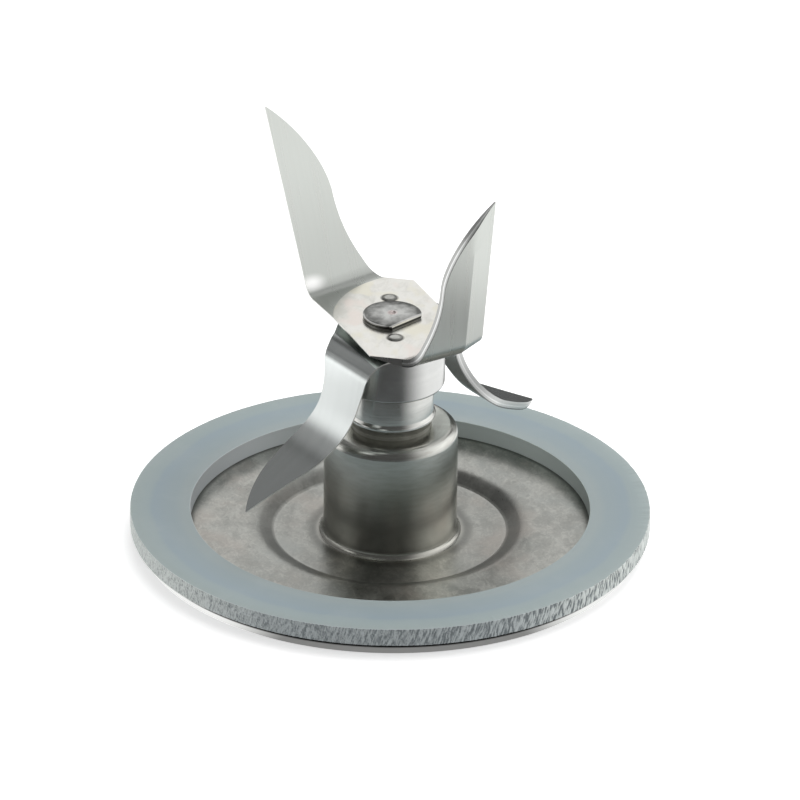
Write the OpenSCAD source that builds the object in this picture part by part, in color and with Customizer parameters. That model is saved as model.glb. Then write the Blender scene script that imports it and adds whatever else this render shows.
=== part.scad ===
// Blade assembly of a kitchen blender: a pressed base plate with its gasket,
// a hub with the bearing inside, and a stack of two folded blades on a shaft.
// Millimetres. The origin is on the shaft axis at the rim's lower edge, +Z up.

/* [Base plate] */
// Distance by which the plate's rim stops short of the gasket's outside
rim_in = 1.1; // [0.2:0.05:1.5]
// Outside radius of the bend that turns the rim down
rim_round = 0.9; // [0.9:0.05:1.2]
// Thickness of the pressed sheet
sheet_t = 0.7; // [0.5:0.05:0.8]
// Height of the plate's field above the sunk ring and the rim's lower edge
field_rise = 0.8; // [0.6:0.05:1.2]
// Diameter at the top of the slope into the sunk ring
well_top_d = 31; // [29:0.1:36]
// Diameter at the foot of that slope
well_foot_d = 26.9; // [22:0.1:27.5]
// Outer diameter of the hub
hub_d = 15.4; // [15:0.1:18]
// Height of the hub's top face above the rim's lower edge
hub_h = 14.4; // [13.5:0.1:18]
// Radius of the bend at the top of the slope into the sunk ring
well_round = 2.5; // [1:0.1:3]
// Outside radius of the hub's shoulder
hub_round = 1.1; // [0.8:0.05:1.5]
// Radius of the hollow corner at the hub's foot
foot_round = 0.8; // [0.4:0.05:1.5]
// Diameter of the hole in the hub's top
hub_hole_d = 8.6; // [8.4:0.1:10]

/* [Gasket] */
// Outer diameter of the gasket
gasket_od = 60; // [58:0.1:63]
// Width of the gasket's ring
gasket_w = 6.95; // [6:0.05:8]
// Thickness of the gasket
gasket_t = 2.1; // [1.5:0.1:4]
// Small break on the gasket's edges
gasket_break = 0.15; // [0.05:0.05:0.4]

/* [Bearing] */
// Height of the housing's body inside the hub
housing_h = 5.7; // [5:0.1:6.5]
// Outer diameter of the housing's nose
nose_d = 7.4; // [7.2:0.1:7.6]
// Length of the nose above the hub's inner face
nose_h = 2.5; // [2.2:0.1:2.7]
// Diameter of the wide bore that holds the lower bushing
lower_bore_d = 10; // [9:0.1:11]
// Depth of that wide bore
lower_bore_h = 4; // [3.5:0.1:4.5]
// Length of the lower bushing
lower_bushing_h = 2.4; // [2:0.1:2.8]
// Outer diameter of the upper bushing
upper_bushing_d = 6.4; // [6:0.1:6.6]
// Room between the housing and the hub's wall
housing_fit = 0.05; // [0.02:0.01:0.1]
// Room between each bushing or wick and its bore in the housing
press_fit = 0.02; // [0.01:0.01:0.04]
// Radial running clearance of the shaft in the bushings
running_fit = 0.03; // [0.01:0.01:0.08]
// End play between washers that turn and washers that stand still
end_play = 0.05; // [0.03:0.01:0.1]
// Thickness of the plastic thrust washers
thrust_t = 0.4; // [0.3:0.05:0.5]
// Thickness of the steel washers
steel_t = 0.35; // [0.25:0.05:0.4]
// Thickness of the spring strip in the wave washer
wave_t = 0.15; // [0.1:0.01:0.2]
// Free height of the wave washer
wave_h = 0.4; // [0.35:0.01:0.5]
// Thickness of the retaining ring under the housing
retainer_t = 0.4; // [0.3:0.05:0.5]
// Diameter inside the retaining ring's band
retainer_band_d = 12; // [11.8:0.1:12.4]

/* [Shaft and coupling] */
// Diameter of the shaft
shaft_d = 5; // [4.6:0.1:5.2]
// Distance from the axis to the flat that drives the blades
shaft_flat = 2; // [1.8:0.05:2.2]
// Diameter of the riveted head
head_d = 6.7; // [6.5:0.1:7.4]
// Distance from the axis to the head's flat
head_flat = 2.4; // [2.3:0.05:2.8]
// Height of the head's side
head_side_h = 0.5; // [0.4:0.05:1]
// Height of the low dome on the head
head_dome_h = 0.18; // [0.1:0.02:0.5]
// Direction that the flats face, in degrees
flat_azimuth = -46; // [-60:1:-30]
// Height of the coupling's lower face above the floor
coupling_lift = 0.3; // [0.2:0.05:0.6]
// Outer diameter of the coupling
coupling_d = 12.4; // [12:0.1:12.8]
// Width across flats of the square drive socket
socket_w = 7.6; // [7:0.1:8]
// Depth of the drive socket
socket_h = 4.4; // [4.2:0.1:4.6]
// Outward opening of the socket's mouth
socket_lead = 0.8; // [0.4:0.1:0.9]

/* [Neck and collar] */
// Diameter of the neck
neck_d = 9.7; // [9.4:0.1:10.6]
// Diameter of the thin ring at the neck's foot
neck_ring_d = 10.2; // [10:0.1:11.4]
// Height of that ring
neck_ring_h = 0.4; // [0.2:0.05:0.8]
// Gap between the hub's top face and the neck
neck_gap = 1.25; // [0.9:0.05:1.5]
// Height of the neck
neck_h = 4.2; // [3:0.05:5]
// Diameter of the hollow under the neck
neck_bore_d = 8.9; // [8.8:0.05:9.1]
// Diameter of the collar
collar_d = 12.2; // [12:0.1:13.5]
// Height of the collar
collar_h = 6.15; // [5:0.05:8]
// Radius of the collar's lower edge
collar_round = 0.3; // [0.2:0.05:1]
// Diameter of the two pins that lock the blades to the collar
pin_d = 1.4; // [1.2:0.1:1.6]
// Diameter of the pins' heads, which sit in the upper blade
pin_head_d = 1.8; // [1.65:0.05:1.9]
// Distance of the pins from the axis
pin_r = 5.1; // [4.8:0.05:5.15]
// Direction of the first pin, in degrees
pin_azimuth = 94; // [80:1:110]
// Depth of the pins in the collar
pin_depth = 2.4; // [1.5:0.1:4]
// Height of the pins' ends above the upper blade
pin_proud = 0.12; // [0.05:0.01:0.3]
// Room round the shaft and pins in the blades and collar
seat_fit = 0.02; // [0.01:0.01:0.05]

/* [Upper blade] */
// Thickness of both blades
blade_t = 0.95; // [0.8:0.05:1.2]
// Direction of the upper blade's strip, in degrees
upper_azimuth = 115; // [100:1:130]
// Half width of the strip at its straight edge
upper_half_w = 6.25; // [6:0.05:7]
// Length from the axis to the blank's tip
upper_reach = 31.9; // [29:0.1:35]
// Sideways place of the tip
upper_tip_side = 7.38; // [6.8:0.05:8]
// Distance from the axis to the first fold line
upper_fold_a = 10.3; // [10.1:0.05:11]
// Lean of the first fold line, in degrees
upper_skew_a = 12.9; // [8:0.1:14]
// Rise of the first arm, in degrees
upper_rise_a = 51.6; // [45:0.2:75]
// Distance from the axis to the second fold line
upper_fold_b = 10.92; // [10.7:0.01:11.5]
// Lean of the second fold line, in degrees
upper_skew_b = 8; // [6:0.1:14]
// Rise of the second arm, in degrees
upper_rise_b = 75; // [50:0.2:78]
// Inside radius of the upper blade's bends
upper_bend_r = 2; // [1.5:0.05:2]

/* [Lower blade] */
// Direction in which the first arm of the lower blade points, in degrees
lower_azimuth = 217; // [205:1:230]
// Width of an arm where it leaves the middle
lower_root_w = 7.9; // [7:0.1:8.4]
// Length from the axis to the blank's tip
lower_reach = 32.8; // [30:0.1:36]
// Distance from the axis to the fold that turns the arm down
lower_fold_down = 9.05; // [8.8:0.05:10]
// Distance from the axis to the fold that turns the arm out
lower_fold_out = 20.05; // [19.5:0.05:21]
// Steepness of the arm between its folds, in degrees
lower_drop = 82; // [75:0.5:84]
// Fall of the arm's outer length, in degrees
lower_fall = 26.6; // [20:0.2:32]
// Radius of the fold that turns down, on the blade's upper face
lower_bend_r = 2.35; // [2:0.05:2.4]
// Radius of the fold that turns out, on the blade's upper face
lower_sweep_r = 9.4; // [7:0.1:9.6]

/* [Ground edges] */
// Width of the bevel ground along each straight edge
bevel_w = 2.8; // [1:0.1:3]
// Thickness left at the ground edge
edge_t = 0.15; // [0.1:0.05:0.4]
// Length by which each tip stops short of a sharp point
tip_blunt = 0.12; // [0.08:0.01:0.3]

/* [Hidden] */
$fn = 96;
tiny = 0.01;
// Length by which a cut runs past the faces that it opens
past = 1;

// Radii that several pieces share
gasket_r = gasket_od / 2;
gasket_inner_r = gasket_r - gasket_w;
rim_r = gasket_r - rim_in;
field_top = field_rise + sheet_t;
hub_r = hub_d / 2;
hub_bore_r = hub_r - sheet_t;
hub_hole_r = hub_hole_d / 2;
shaft_r = shaft_d / 2;
nose_r = nose_d / 2;
collar_r = collar_d / 2;
neck_r = neck_d / 2;
washer_bore_r = shaft_r + 0.1;

// Heights of the stack that stands still, from the floor up
hub_ceiling = hub_h - sheet_t;
housing_z = hub_ceiling - housing_h;
nose_z = hub_ceiling + nose_h;
wick_z = housing_z + lower_bushing_h;
upper_bore_z = housing_z + lower_bore_h;
lower_thrust_z = housing_z - thrust_t;
retainer_z = housing_z - retainer_t;

// Heights of the stack that turns
lower_steel_z = lower_thrust_z - end_play - steel_t;
wave_z = lower_steel_z - wave_h;
upper_steel_z = nose_z + thrust_t + end_play;
neck_z = hub_h + neck_gap;
neck_ceiling = upper_steel_z + steel_t;
collar_z = neck_z + neck_h;
lower_blade_z = collar_z + collar_h;
upper_blade_z = lower_blade_z + blade_t;
head_z = upper_blade_z + blade_t;
coupling_h = wave_z - coupling_lift;
shaft_z = coupling_lift + socket_h;

// Plane geometry
function unit(v) = v / norm(v);
function left(v) = [-v[1], v[0]];
function turned(v, a) = [v[0] * cos(a) - v[1] * sin(a), v[0] * sin(a) + v[1] * cos(a)];
function reversed(list) = [for (i = [len(list) - 1:-1:0]) list[i]];
function angle_between(a, b) = acos(min(1, max(-1, a * b)));

// Points of one rounded corner of a bent sheet, at the distance side to the left of its middle line
function corner(path, i, r, side, steps = 8) =
    let (
        a = unit(path[i] - path[i - 1]),
        b = unit(path[i + 1] - path[i]),
        way = sign(a[0] * b[1] - a[1] * b[0]),
        bend = angle_between(a, b),
        start = path[i] - a * r * tan(bend / 2),
        centre = start + left(a) * way * r
    )
    [for (k = [0:steps]) centre + turned(-left(a) * way, way * bend * k / steps) * (r - way * side)];

// One face of a bent sheet, at the distance side from its middle line
function face_line(path, radii, side) =
    let (last = len(path) - 1)
    concat(
        [path[0] + left(unit(path[1] - path[0])) * side],
        [for (i = [1:last - 1]) each corner(path, i, radii[i - 1], side)],
        [path[last] + left(unit(path[last] - path[last - 1])) * side]
    );

// Outline of a sheet of one thickness bent along a path, with a radius at each corner
function bent_sheet(path, radii, t) =
    concat(face_line(path, radii, t / 2), reversed(face_line(path, radii, -t / 2)));

// Points of a cubic curve, with both ends
function curve(p, steps) =
    [for (k = [0:steps]) let (t = k / steps, s = 1 - t)
        s * s * s * p[0] + 3 * s * s * t * p[1] + 3 * s * t * t * p[2] + t * t * t * p[3]];

// Ring turned about the shaft axis between two radii and two heights
module ring(inner_r, outer_r, z, h) {
    translate([0, 0, z])
        difference() {
            cylinder(r = outer_r, h = h);
            translate([0, 0, -past]) cylinder(r = inner_r, h = h + 2 * past);
        }
}

// Round bar with one flat, whose flat faces the direction of the blade drive
module flatted_bar(r, flat, h) {
    rotate([0, 0, flat_azimuth])
        intersection() {
            cylinder(r = r, h = h);
            translate([-2 * r, -2 * r, -past]) cube([2 * r + flat, 4 * r, h + 2 * past]);
        }
}

// Copies at the two pins that lock the blades
module at_pins() {
    for (side = [0, 180]) rotate([0, 0, pin_azimuth + side]) translate([pin_r, 0, 0]) children();
}

// Hole through a blade's middle for the flatted shaft and two pins of the diameter d
module blade_holes(z, d) {
    translate([0, 0, z - past]) {
        flatted_bar(shaft_r + seat_fit, shaft_flat + seat_fit, blade_t + 2 * past);
        at_pins() cylinder(r = d / 2 + seat_fit, h = blade_t + 2 * past, $fn = 32);
    }
}

// Base plate: one pressed sheet from the turned-down rim, over the flat field and the sunk ring, up
// to the hub
module base_plate() {
    mid = sheet_t / 2;
    field_mid = field_top - mid;
    well_turn_r = 0.6;
    wall_r = hub_r - mid;
    path = [
        [rim_r - mid, 0], [rim_r - mid, field_mid], [well_top_d / 2, field_mid],
        [well_foot_d / 2, mid], [wall_r, mid], [wall_r, hub_h - mid], [hub_hole_r, hub_h - mid]
    ];
    radii = [rim_round - mid, well_round, well_turn_r, foot_round + mid, hub_round - mid];
    color("#a39f99") rotate_extrude($fn = 180) polygon(bent_sheet(path, radii, sheet_t));
}

// Gasket: flat ring cut from rubber sheet, lying on the outer part of the plate's field
module gasket() {
    inner_r = gasket_inner_r;
    outer_r = gasket_r;
    foot = field_top;
    top = foot + gasket_t;
    b = gasket_break;
    color("#9aa6ad")
        rotate_extrude($fn = 180)
            polygon([
                [inner_r, foot + b], [inner_r + b, foot], [outer_r - b, foot], [outer_r, foot + b],
                [outer_r, top - b], [outer_r - b, top], [inner_r + b, top], [inner_r, top - b]
            ]);
}

// Bearing housing: turned sleeve pressed up into the hub, with a nose through the hub's top
module bearing_housing() {
    body_r = hub_bore_r - housing_fit;
    ease = hub_round - sheet_t + 0.3;
    color("#b9b6ad")
        rotate_extrude()
            polygon([
                [lower_bore_d / 2, housing_z], [body_r - 0.3, housing_z], [body_r, housing_z + 0.3],
                [body_r, hub_ceiling - ease], [body_r - ease, hub_ceiling], [nose_r, hub_ceiling],
                [nose_r, nose_z - 0.2], [nose_r - 0.2, nose_z], [upper_bushing_d / 2, nose_z],
                [upper_bushing_d / 2, upper_bore_z], [lower_bore_d / 2, upper_bore_z]
            ]);
}

// Retaining ring: push-in ring with inner teeth that holds the housing up in the hub
module bearing_retainer() {
    teeth = 8;
    color("#8f9296")
        difference() {
            ring(retainer_band_d / 2 - 0.35, hub_bore_r - housing_fit, retainer_z, retainer_t);
            for (i = [0:teeth - 1])
                rotate([0, 0, i * 360 / teeth])
                    translate([retainer_band_d / 2, 0, retainer_z - past])
                        cylinder(r = 0.8, h = retainer_t + 2 * past, $fn = 24);
        }
}

// Lower bushing: oil-soaked bronze in the wide bore
module lower_bushing() {
    color("#a8804a") ring(shaft_r + running_fit, lower_bore_d / 2 - press_fit, housing_z, lower_bushing_h);
}

// Felt wick: ring that feeds oil to both bushings
module oil_wick() {
    color("#d8cba8")
        ring(shaft_r + 2 * running_fit, lower_bore_d / 2 - press_fit, wick_z, upper_bore_z - wick_z);
}

// Upper bushing: oil-soaked bronze in the nose
module upper_bushing() {
    color("#a8804a")
        ring(shaft_r + running_fit, upper_bushing_d / 2 - press_fit, upper_bore_z, nose_z - upper_bore_z);
}

// Lip seal: rubber sleeve on the nose, plugged in the hub's hole, with a lip inside the neck's hollow
module lip_seal() {
    plug_r = hub_hole_r - press_fit;
    flange_h = 0.45;
    lip_r = neck_bore_d / 2 - 0.25;
    bore_r = nose_r + press_fit;
    color("#2b2c2d")
        rotate_extrude()
            polygon([
                [bore_r, hub_ceiling + 0.1], [plug_r, hub_ceiling + 0.1], [plug_r, hub_h],
                [hub_hole_r + 0.35, hub_h], [hub_hole_r + 0.35, hub_h + flange_h],
                [bore_r + 0.35, hub_h + flange_h + 0.25], [bore_r + 0.35, neck_z - 0.1],
                [lip_r, nose_z - 0.1], [lip_r - 0.2, nose_z], [bore_r, neck_z + 0.1]
            ]);
}

// Plastic thrust washers: one on the nose and one under the lower bushing
module upper_thrust_washer() {
    color("#e6e2d6") ring(washer_bore_r, nose_r, nose_z, thrust_t);
}

module lower_thrust_washer() {
    color("#e6e2d6") ring(washer_bore_r, retainer_band_d / 2 - 0.8, lower_thrust_z, thrust_t);
}

// Steel washers that turn against the plastic ones
module upper_steel_washer() {
    color("#9da0a3") ring(washer_bore_r, nose_r + 0.1, upper_steel_z, steel_t);
}

module lower_steel_washer() {
    color("#9da0a3") ring(washer_bore_r, retainer_band_d / 2 - 1, lower_steel_z, steel_t);
}

// Wave washer: spring strip with three waves between the steel washer and the coupling
module wave_washer() {
    waves = 3;
    stations = 48;
    inner_r = washer_bore_r + 0.3;
    outer_r = retainer_band_d / 2 - 1.2;
    swing = (wave_h - wave_t) / 2;
    points = [
        for (i = [0:stations - 1])
            let (a = i * 360 / stations, z = wave_z + swing * (1 + cos(waves * a)))
            each [
                [inner_r * cos(a), inner_r * sin(a), z], [outer_r * cos(a), outer_r * sin(a), z],
                [outer_r * cos(a), outer_r * sin(a), z + wave_t], [inner_r * cos(a), inner_r * sin(a), z + wave_t]
            ]
    ];
    color("#b4b6b8") polyhedron(points, loop_faces(stations, 4), convexity = 8);
}

// Shaft: turned bar with a flat through the blades and a riveted, flatted head on top
module shaft() {
    stem_h = lower_blade_z - 0.5 - shaft_z;
    color("#8c8d8e")
        difference() {
            union() {
                translate([0, 0, shaft_z]) cylinder(r = shaft_r, h = stem_h);
                translate([0, 0, shaft_z + stem_h])
                    flatted_bar(shaft_r, shaft_flat, head_z - shaft_z - stem_h + tiny);
                translate([0, 0, head_z]) head();
            }
            dimple_r = 0.9;
            translate([0, 0, head_z + head_side_h + head_dome_h + dimple_r - 0.12]) sphere(r = dimple_r, $fn = 32);
        }
}

// Head of the shaft: a low flange, a thin groove and a domed cap, with one flat
module head() {
    r = head_d / 2;
    flange_h = head_side_h * 0.3;
    groove_h = head_side_h * 0.2;
    groove_in = 0.25;
    dome_r = (r * r + head_dome_h * head_dome_h) / (2 * head_dome_h);
    flatted_bar(r - 0.05, head_flat, flange_h);
    translate([0, 0, flange_h]) flatted_bar(r - groove_in, head_flat - groove_in, groove_h);
    intersection() {
        translate([0, 0, flange_h + groove_h]) flatted_bar(r, head_flat, head_side_h + head_dome_h);
        translate([0, 0, head_side_h + head_dome_h - dome_r]) sphere(r = dome_r, $fn = 180);
    }
}

// Slinger cup: the neck, hollow below so that it shrouds the lip seal
module slinger_cup() {
    bore_r = shaft_r + seat_fit;
    ring_r = neck_ring_d / 2;
    hollow_r = neck_bore_d / 2;
    top = neck_z + neck_h;
    color("#a9a9a6")
        rotate_extrude()
            polygon([
                [hollow_r, neck_z], [ring_r - 0.1, neck_z], [ring_r, neck_z + 0.1],
                [ring_r, neck_z + neck_ring_h - 0.1], [ring_r - 0.1, neck_z + neck_ring_h],
                [neck_r + 0.12, neck_z + neck_ring_h + 0.1], [neck_r, neck_z + neck_ring_h + 0.35],
                [neck_r, top - 0.15], [neck_r - 0.15, top], [bore_r, top],
                [bore_r, neck_ceiling], [hollow_r, neck_ceiling]
            ]);
}

// Collar: turned spacer that carries the blades
module collar() {
    top = collar_z + collar_h;
    steps = 8;
    lower_edge = [
        for (k = [0:steps])
            [collar_r - collar_round * (1 - sin(90 * k / steps)), collar_z + collar_round * (1 - cos(90 * k / steps))]
    ];
    color("#b3b3b0")
        difference() {
            rotate_extrude()
                polygon(concat([[shaft_r + seat_fit, collar_z]], lower_edge,
                    [[collar_r, top - 0.15], [collar_r - 0.15, top], [shaft_r + seat_fit, top]]));
            translate([0, 0, top - pin_depth]) at_pins() cylinder(r = pin_d / 2 + seat_fit, h = pin_depth + 1, $fn = 32);
        }
}

// Locating pins: two dowels through both blades into the collar, each with a head in the upper blade
module locating_pins() {
    shank_h = pin_depth + blade_t;
    h = shank_h + blade_t + pin_proud;
    r = pin_d / 2;
    head_r = pin_head_d / 2;
    color("#99999a")
        translate([0, 0, collar_z + collar_h - pin_depth])
            at_pins()
                rotate_extrude($fn = 32)
                    polygon([
                        [0, 0], [r, 0], [r, shank_h], [head_r, shank_h], [head_r, h - 0.08], [head_r - 0.3, h], [0, h]
                    ]);
}

// Faces that close a loop of equal rings of points
function loop_faces(rings, n) = [
    for (i = [0:rings - 1])
        for (j = [0:n - 1])
            let (a = i * n + j, b = i * n + (j + 1) % n, c = ((i + 1) % rings) * n + j,
                d = ((i + 1) % rings) * n + (j + 1) % n)
            each [[a, c, b], [b, c, d]]
];

// Place on a folded sheet: its way out, its height and its slope, at the distance y along the flat
// blank. Each fold is [distance, angle, radius], with the angle counted upward.
function folded(y, folds, at = [0, 0], slope = 0, from = 0, i = 0) =
    i >= len(folds) ? [at[0] + (y - from) * cos(slope), at[1] + (y - from) * sin(slope), slope]
    : let (
        fold = folds[i],
        reach = fold[2] * tan(abs(fold[1]) / 2),
        start = fold[0] - reach,
        turn_at = at + (start - from) * [cos(slope), sin(slope)]
    )
    y <= start ? [at[0] + (y - from) * cos(slope), at[1] + (y - from) * sin(slope), slope]
    : let (
        part = min(1, (y - start) / (2 * reach)),
        way = sign(fold[1]),
        end_slope = slope + fold[1] * part,
        centre = turn_at + fold[2] * way * [-sin(slope), cos(slope)],
        here = centre + fold[2] * way * [sin(end_slope), -cos(end_slope)]
    )
    part < 1 ? [here[0], here[1], end_slope]
    : folded(y, folds, here, end_slope, start + 2 * reach, i + 1);

// Where a fold's curve starts, as a distance along the blank
function fold_start(fold) = fold[0] - fold[2] * tan(abs(fold[1]) / 2);

// Place of the bevel's inner line between the straight and the curved edge
function bevel_x(straight_x, curved_x) =
    let (w = curved_x - straight_x)
    straight_x + sign(w) * min(bevel_w, abs(w) * 0.9);

// Thickness of a blade at a distance from its ground edge
function ground_t(w) = edge_t + (blade_t - edge_t) * min(1, w / bevel_w);

// Section of an arm at one distance along the blank: three points on its upper face and three
// below. Its straight edge is ground from below.
function arm_section(y, straight_x, curved_x, folds) =
    let (
        p = folded(y, folds),
        middle_x = bevel_x(straight_x, curved_x),
        depths = [for (x = [curved_x, middle_x, straight_x]) ground_t(abs(x - straight_x))]
    )
    [
        for (q = [[straight_x, 0], [middle_x, 0], [curved_x, 0], [curved_x, depths[0]], [middle_x, depths[1]],
                [straight_x, depths[2]]])
            [q[0], p[0] + q[1] * sin(p[2]), p[1] - q[1] * cos(p[2])]
    ];

// Distances along the blank at which an arm has a section, after the start of its first fold
function stations(curved, folds, reach, bend_steps = 10) =
    let (
        last = folds[len(folds) - 1],
        bends_end = 2 * last[0] - fold_start(last)
    )
    concat(
        [
            for (i = [0:len(folds) - 1])
                let (from = fold_start(folds[i]), half = folds[i][0] - from)
                for (k = [i == 0 ? 1 : 0:bend_steps]) from + 2 * half * k / bend_steps
        ],
        [for (p = curved) if (p[0] > bends_end + 0.1 && p[0] < reach - 2 * tip_blunt) p[0]],
        [reach - tip_blunt]
    );

// A blank edge seen from a fold line that leans: rows of [distance, sideways place]
function leaned(edge, skew) = [for (p = edge) let (q = turned(p, -skew)) [q[1], q[0]]];

// An arm is [its straight edge, its curved edge, its folds, the lean of its fold lines, the blank's
// corners before and after the fold]. Edges and corners are in the blank's frame.
function arm_sections(arm, tip) =
    let (
        straight = leaned(arm[0], arm[3]),
        curved = leaned(arm[1], arm[3]),
        folds = arm[2],
        reach = turned(tip, -arm[3])[1]
    )
    [
        for (y = stations(curved, folds, reach))
            [
                for (q = arm_section(y, lookup(y, straight), lookup(y, curved), folds))
                    let (xy = turned([q[0], q[1]], arm[3]))
                    [xy[0], xy[1], q[2]]
            ]
    ];

// Corners of one half of the blank's flat middle. Three of them lie on the start of the fold.
function middle_half(arm) =
    let (
        y = fold_start(arm[2][0]),
        straight_x = lookup(y, leaned(arm[0], arm[3])),
        curved_x = lookup(y, leaned(arm[1], arm[3]))
    )
    concat(
        arm[4],
        [for (x = [straight_x, bevel_x(straight_x, curved_x), curved_x]) turned([x, y], arm[3])],
        arm[5]
    );

// Faces of a folded blade. halves are the corners of the middle's two halves, before how many
// corners come ahead of the three at each fold, and rows how many sections each arm has. The
// bevel runs on across the middle to the first corner, as a fan of faces.
function blade_faces(halves, before, rows) =
    let (
        m = len(halves[0]) + len(halves[1]),
        origins = [0, len(halves[0])],
        starts = origins + before,
        bases = [2 * m, 2 * m + 6 * rows[0]],
        index = function(a, row, j)
            row > 0 ? bases[a] + 6 * (row - 1) + j : j < 3 ? starts[a] + j : m + starts[a] + 5 - j,
        at_fold = [for (s = starts) each [s, s + 1]],
        ground = [for (a = [0, 1]) for (i = [origins[a] + 1:starts[a]]) i]
    )
    concat(
        [[for (i = [0:m - 1]) i], [for (i = [m - 1:-1:0]) if (len(search(i, ground)) == 0) m + i]],
        [for (a = [0, 1], i = [origins[a]:starts[a] - 1]) [m + i, m + starts[a] + 1, m + i + 1]],
        [for (i = [0:m - 1]) if (len(search(i, at_fold)) == 0) [i, m + i, m + (i + 1) % m, (i + 1) % m]],
        [
            for (a = [0, 1], row = [0:rows[a] - 1], j = [0:5])
                let (k = (j + 1) % 6)
                each [
                    [index(a, row, j), index(a, row + 1, j), index(a, row, k)],
                    [index(a, row, k), index(a, row + 1, j), index(a, row + 1, k)]
                ]
        ],
        [for (a = [0, 1]) [for (j = [5:-1:0]) index(a, rows[a], j)]]
    );

// Blade folded from one blank: a flat middle with its upper face at height 0, and two arms. The
// second arm is the first turned half round, with folds of its own.
module folded_blade(arms, tip) {
    halves = [for (a = [0, 1]) [for (p = middle_half(arms[a])) turned(p, 180 * a)]];
    before = [for (arm = arms) len(arm[4])];
    sections = [
        for (a = [0, 1])
            [for (section = arm_sections(arms[a], tip)) [for (q = section) a == 0 ? q : [-q[0], -q[1], q[2]]]]
    ];
    points = concat(
        [for (half = halves, p = half) [p[0], p[1], 0]],
        [
            for (a = [0, 1])
                for (i = [0:len(halves[a]) - 1])
                    [halves[a][i][0], halves[a][i][1], i > 0 && i <= before[a] ? -edge_t : -blade_t]
        ],
        [for (row = sections, section = row, q = section) q]
    );
    polyhedron(points, blade_faces(halves, before, [for (row = sections) len(row)]), convexity = 8);
}

// Points of a blank's edge from a drawing at no scale: [share of the width, share of the way from
// the fold line to the tip]
function drawn(points, w, fold, reach) = [for (p = points) [p[0] * w, fold + p[1] * (reach - fold)]];

// Edges of the upper blank in its own frame, from the middle to the tip. Points are [sideways, along].
upper_tip = [-upper_tip_side, upper_reach];
upper_corner = [-upper_half_w * 1.016, -upper_fold_a * 0.757];
upper_kink = [-upper_half_w * 0.984, upper_fold_a * 0.291];
upper_form = drawn(
    [
        [0.542, -0.0162], [0.304, 0.134], [-0.072, 0.241], [-0.096, 0.518], [-0.12, 0.648], [-0.48, 0.856]
    ],
    upper_half_w, upper_fold_a, upper_reach
);
upper_root = upper_form[0];
upper_bevel_end = upper_corner - (upper_root + upper_corner) * bevel_w / (-upper_root[0] - upper_corner[0]);
upper_straight = [upper_corner, upper_kink, upper_tip];
upper_curved = concat(
    curve([for (i = [0:3]) upper_form[i]], 12),
    curve([upper_form[3], upper_form[4], upper_form[5], upper_tip], 14)
);
upper_arms = [
    [upper_straight, upper_curved, [[upper_fold_a, upper_rise_a, upper_bend_r]], upper_skew_a,
        [upper_bevel_end, upper_corner, upper_kink], [upper_root]],
    [upper_straight, upper_curved, [[upper_fold_b, upper_rise_b, upper_bend_r]], upper_skew_b,
        [upper_bevel_end, upper_corner, upper_kink], [upper_root]]
];

// Upper blade: a flat middle and two arms folded up at different angles
module upper_blade() {
    color("#c9ccc8")
        difference() {
            translate([0, 0, head_z]) rotate([0, 0, upper_azimuth - 90]) folded_blade(upper_arms, upper_tip);
            blade_holes(upper_blade_z, pin_head_d);
        }
}

// Edges of the lower blank in its own frame
lower_side_x = -lower_root_w * 0.937;
lower_tip = [-lower_root_w * 0.223, lower_reach];
lower_form = drawn(
    [
        [-0.937, 0.061], [-0.823, 0.272], [-0.38, 0.65],
        [0.203, -0.0905], [0.152, -0.019], [0.063, 0.023], [0.044, 0.099],
        [0.025, 0.272], [0.297, 0.44], [0.31, 0.613], [0.31, 0.756], [0.076, 0.907]
    ],
    lower_root_w, lower_fold_down, lower_reach
);
lower_straight = concat(
    [[lower_side_x, 0]],
    curve([lower_form[0], lower_form[1], lower_form[2], lower_tip], 20)
);
lower_curved = concat(
    [[lower_root_w * 0.253, 0]],
    curve([for (i = [3:6]) lower_form[i]], 6),
    curve([for (i = [6:9]) lower_form[i]], 10),
    curve([lower_form[9], lower_form[10], lower_form[11], lower_tip], 12)
);
lower_folds = [
    [lower_fold_down, -lower_drop, lower_bend_r],
    [lower_fold_out, lower_drop - lower_fall, lower_sweep_r]
];
lower_corner = [-lower_root_w * 0.835, -lower_fold_down * 0.221];
lower_arm = [lower_straight, lower_curved, lower_folds, 0, [lower_corner], []];

// Lower blade: a flat middle and two arms that drop beside the collar and sweep outward
module lower_blade() {
    color("#bfc4c2")
        difference() {
            translate([0, 0, upper_blade_z])
                rotate([0, 0, lower_azimuth - 90]) folded_blade([lower_arm, lower_arm], lower_tip);
            blade_holes(lower_blade_z, pin_d);
        }
}

// Drive coupling: square socket that the motor's drive enters from below
module drive_coupling() {
    r = coupling_d / 2;
    top = coupling_lift + coupling_h;
    color("#6f7173")
        difference() {
            rotate_extrude()
                polygon([
                    [0, coupling_lift], [r - 0.4, coupling_lift], [r, coupling_lift + 0.4],
                    [r, top - 0.4], [r - 0.4, top], [0, top]
                ]);
            translate([-socket_w / 2, -socket_w / 2, coupling_lift - 1]) cube([socket_w, socket_w, socket_h + 1]);
            translate([0, 0, coupling_lift - tiny])
                cylinder(r1 = socket_w / 2 + socket_lead, r2 = socket_w / 2 - tiny, h = socket_lead);
            translate([0, 0, coupling_lift]) cylinder(r = shaft_r + seat_fit, h = coupling_h + 1);
        }
}

base_plate();
gasket();
bearing_housing();
bearing_retainer();
lower_bushing();
oil_wick();
upper_bushing();
lip_seal();
upper_thrust_washer();
lower_thrust_washer();
shaft();
slinger_cup();
collar();
lower_blade();
upper_blade();
locating_pins();
upper_steel_washer();
lower_steel_washer();
wave_washer();
drive_coupling();
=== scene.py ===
import math

import bmesh
import bpy
from mathutils import Matrix, Vector
from mathutils.noise import noise as perlin


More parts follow.
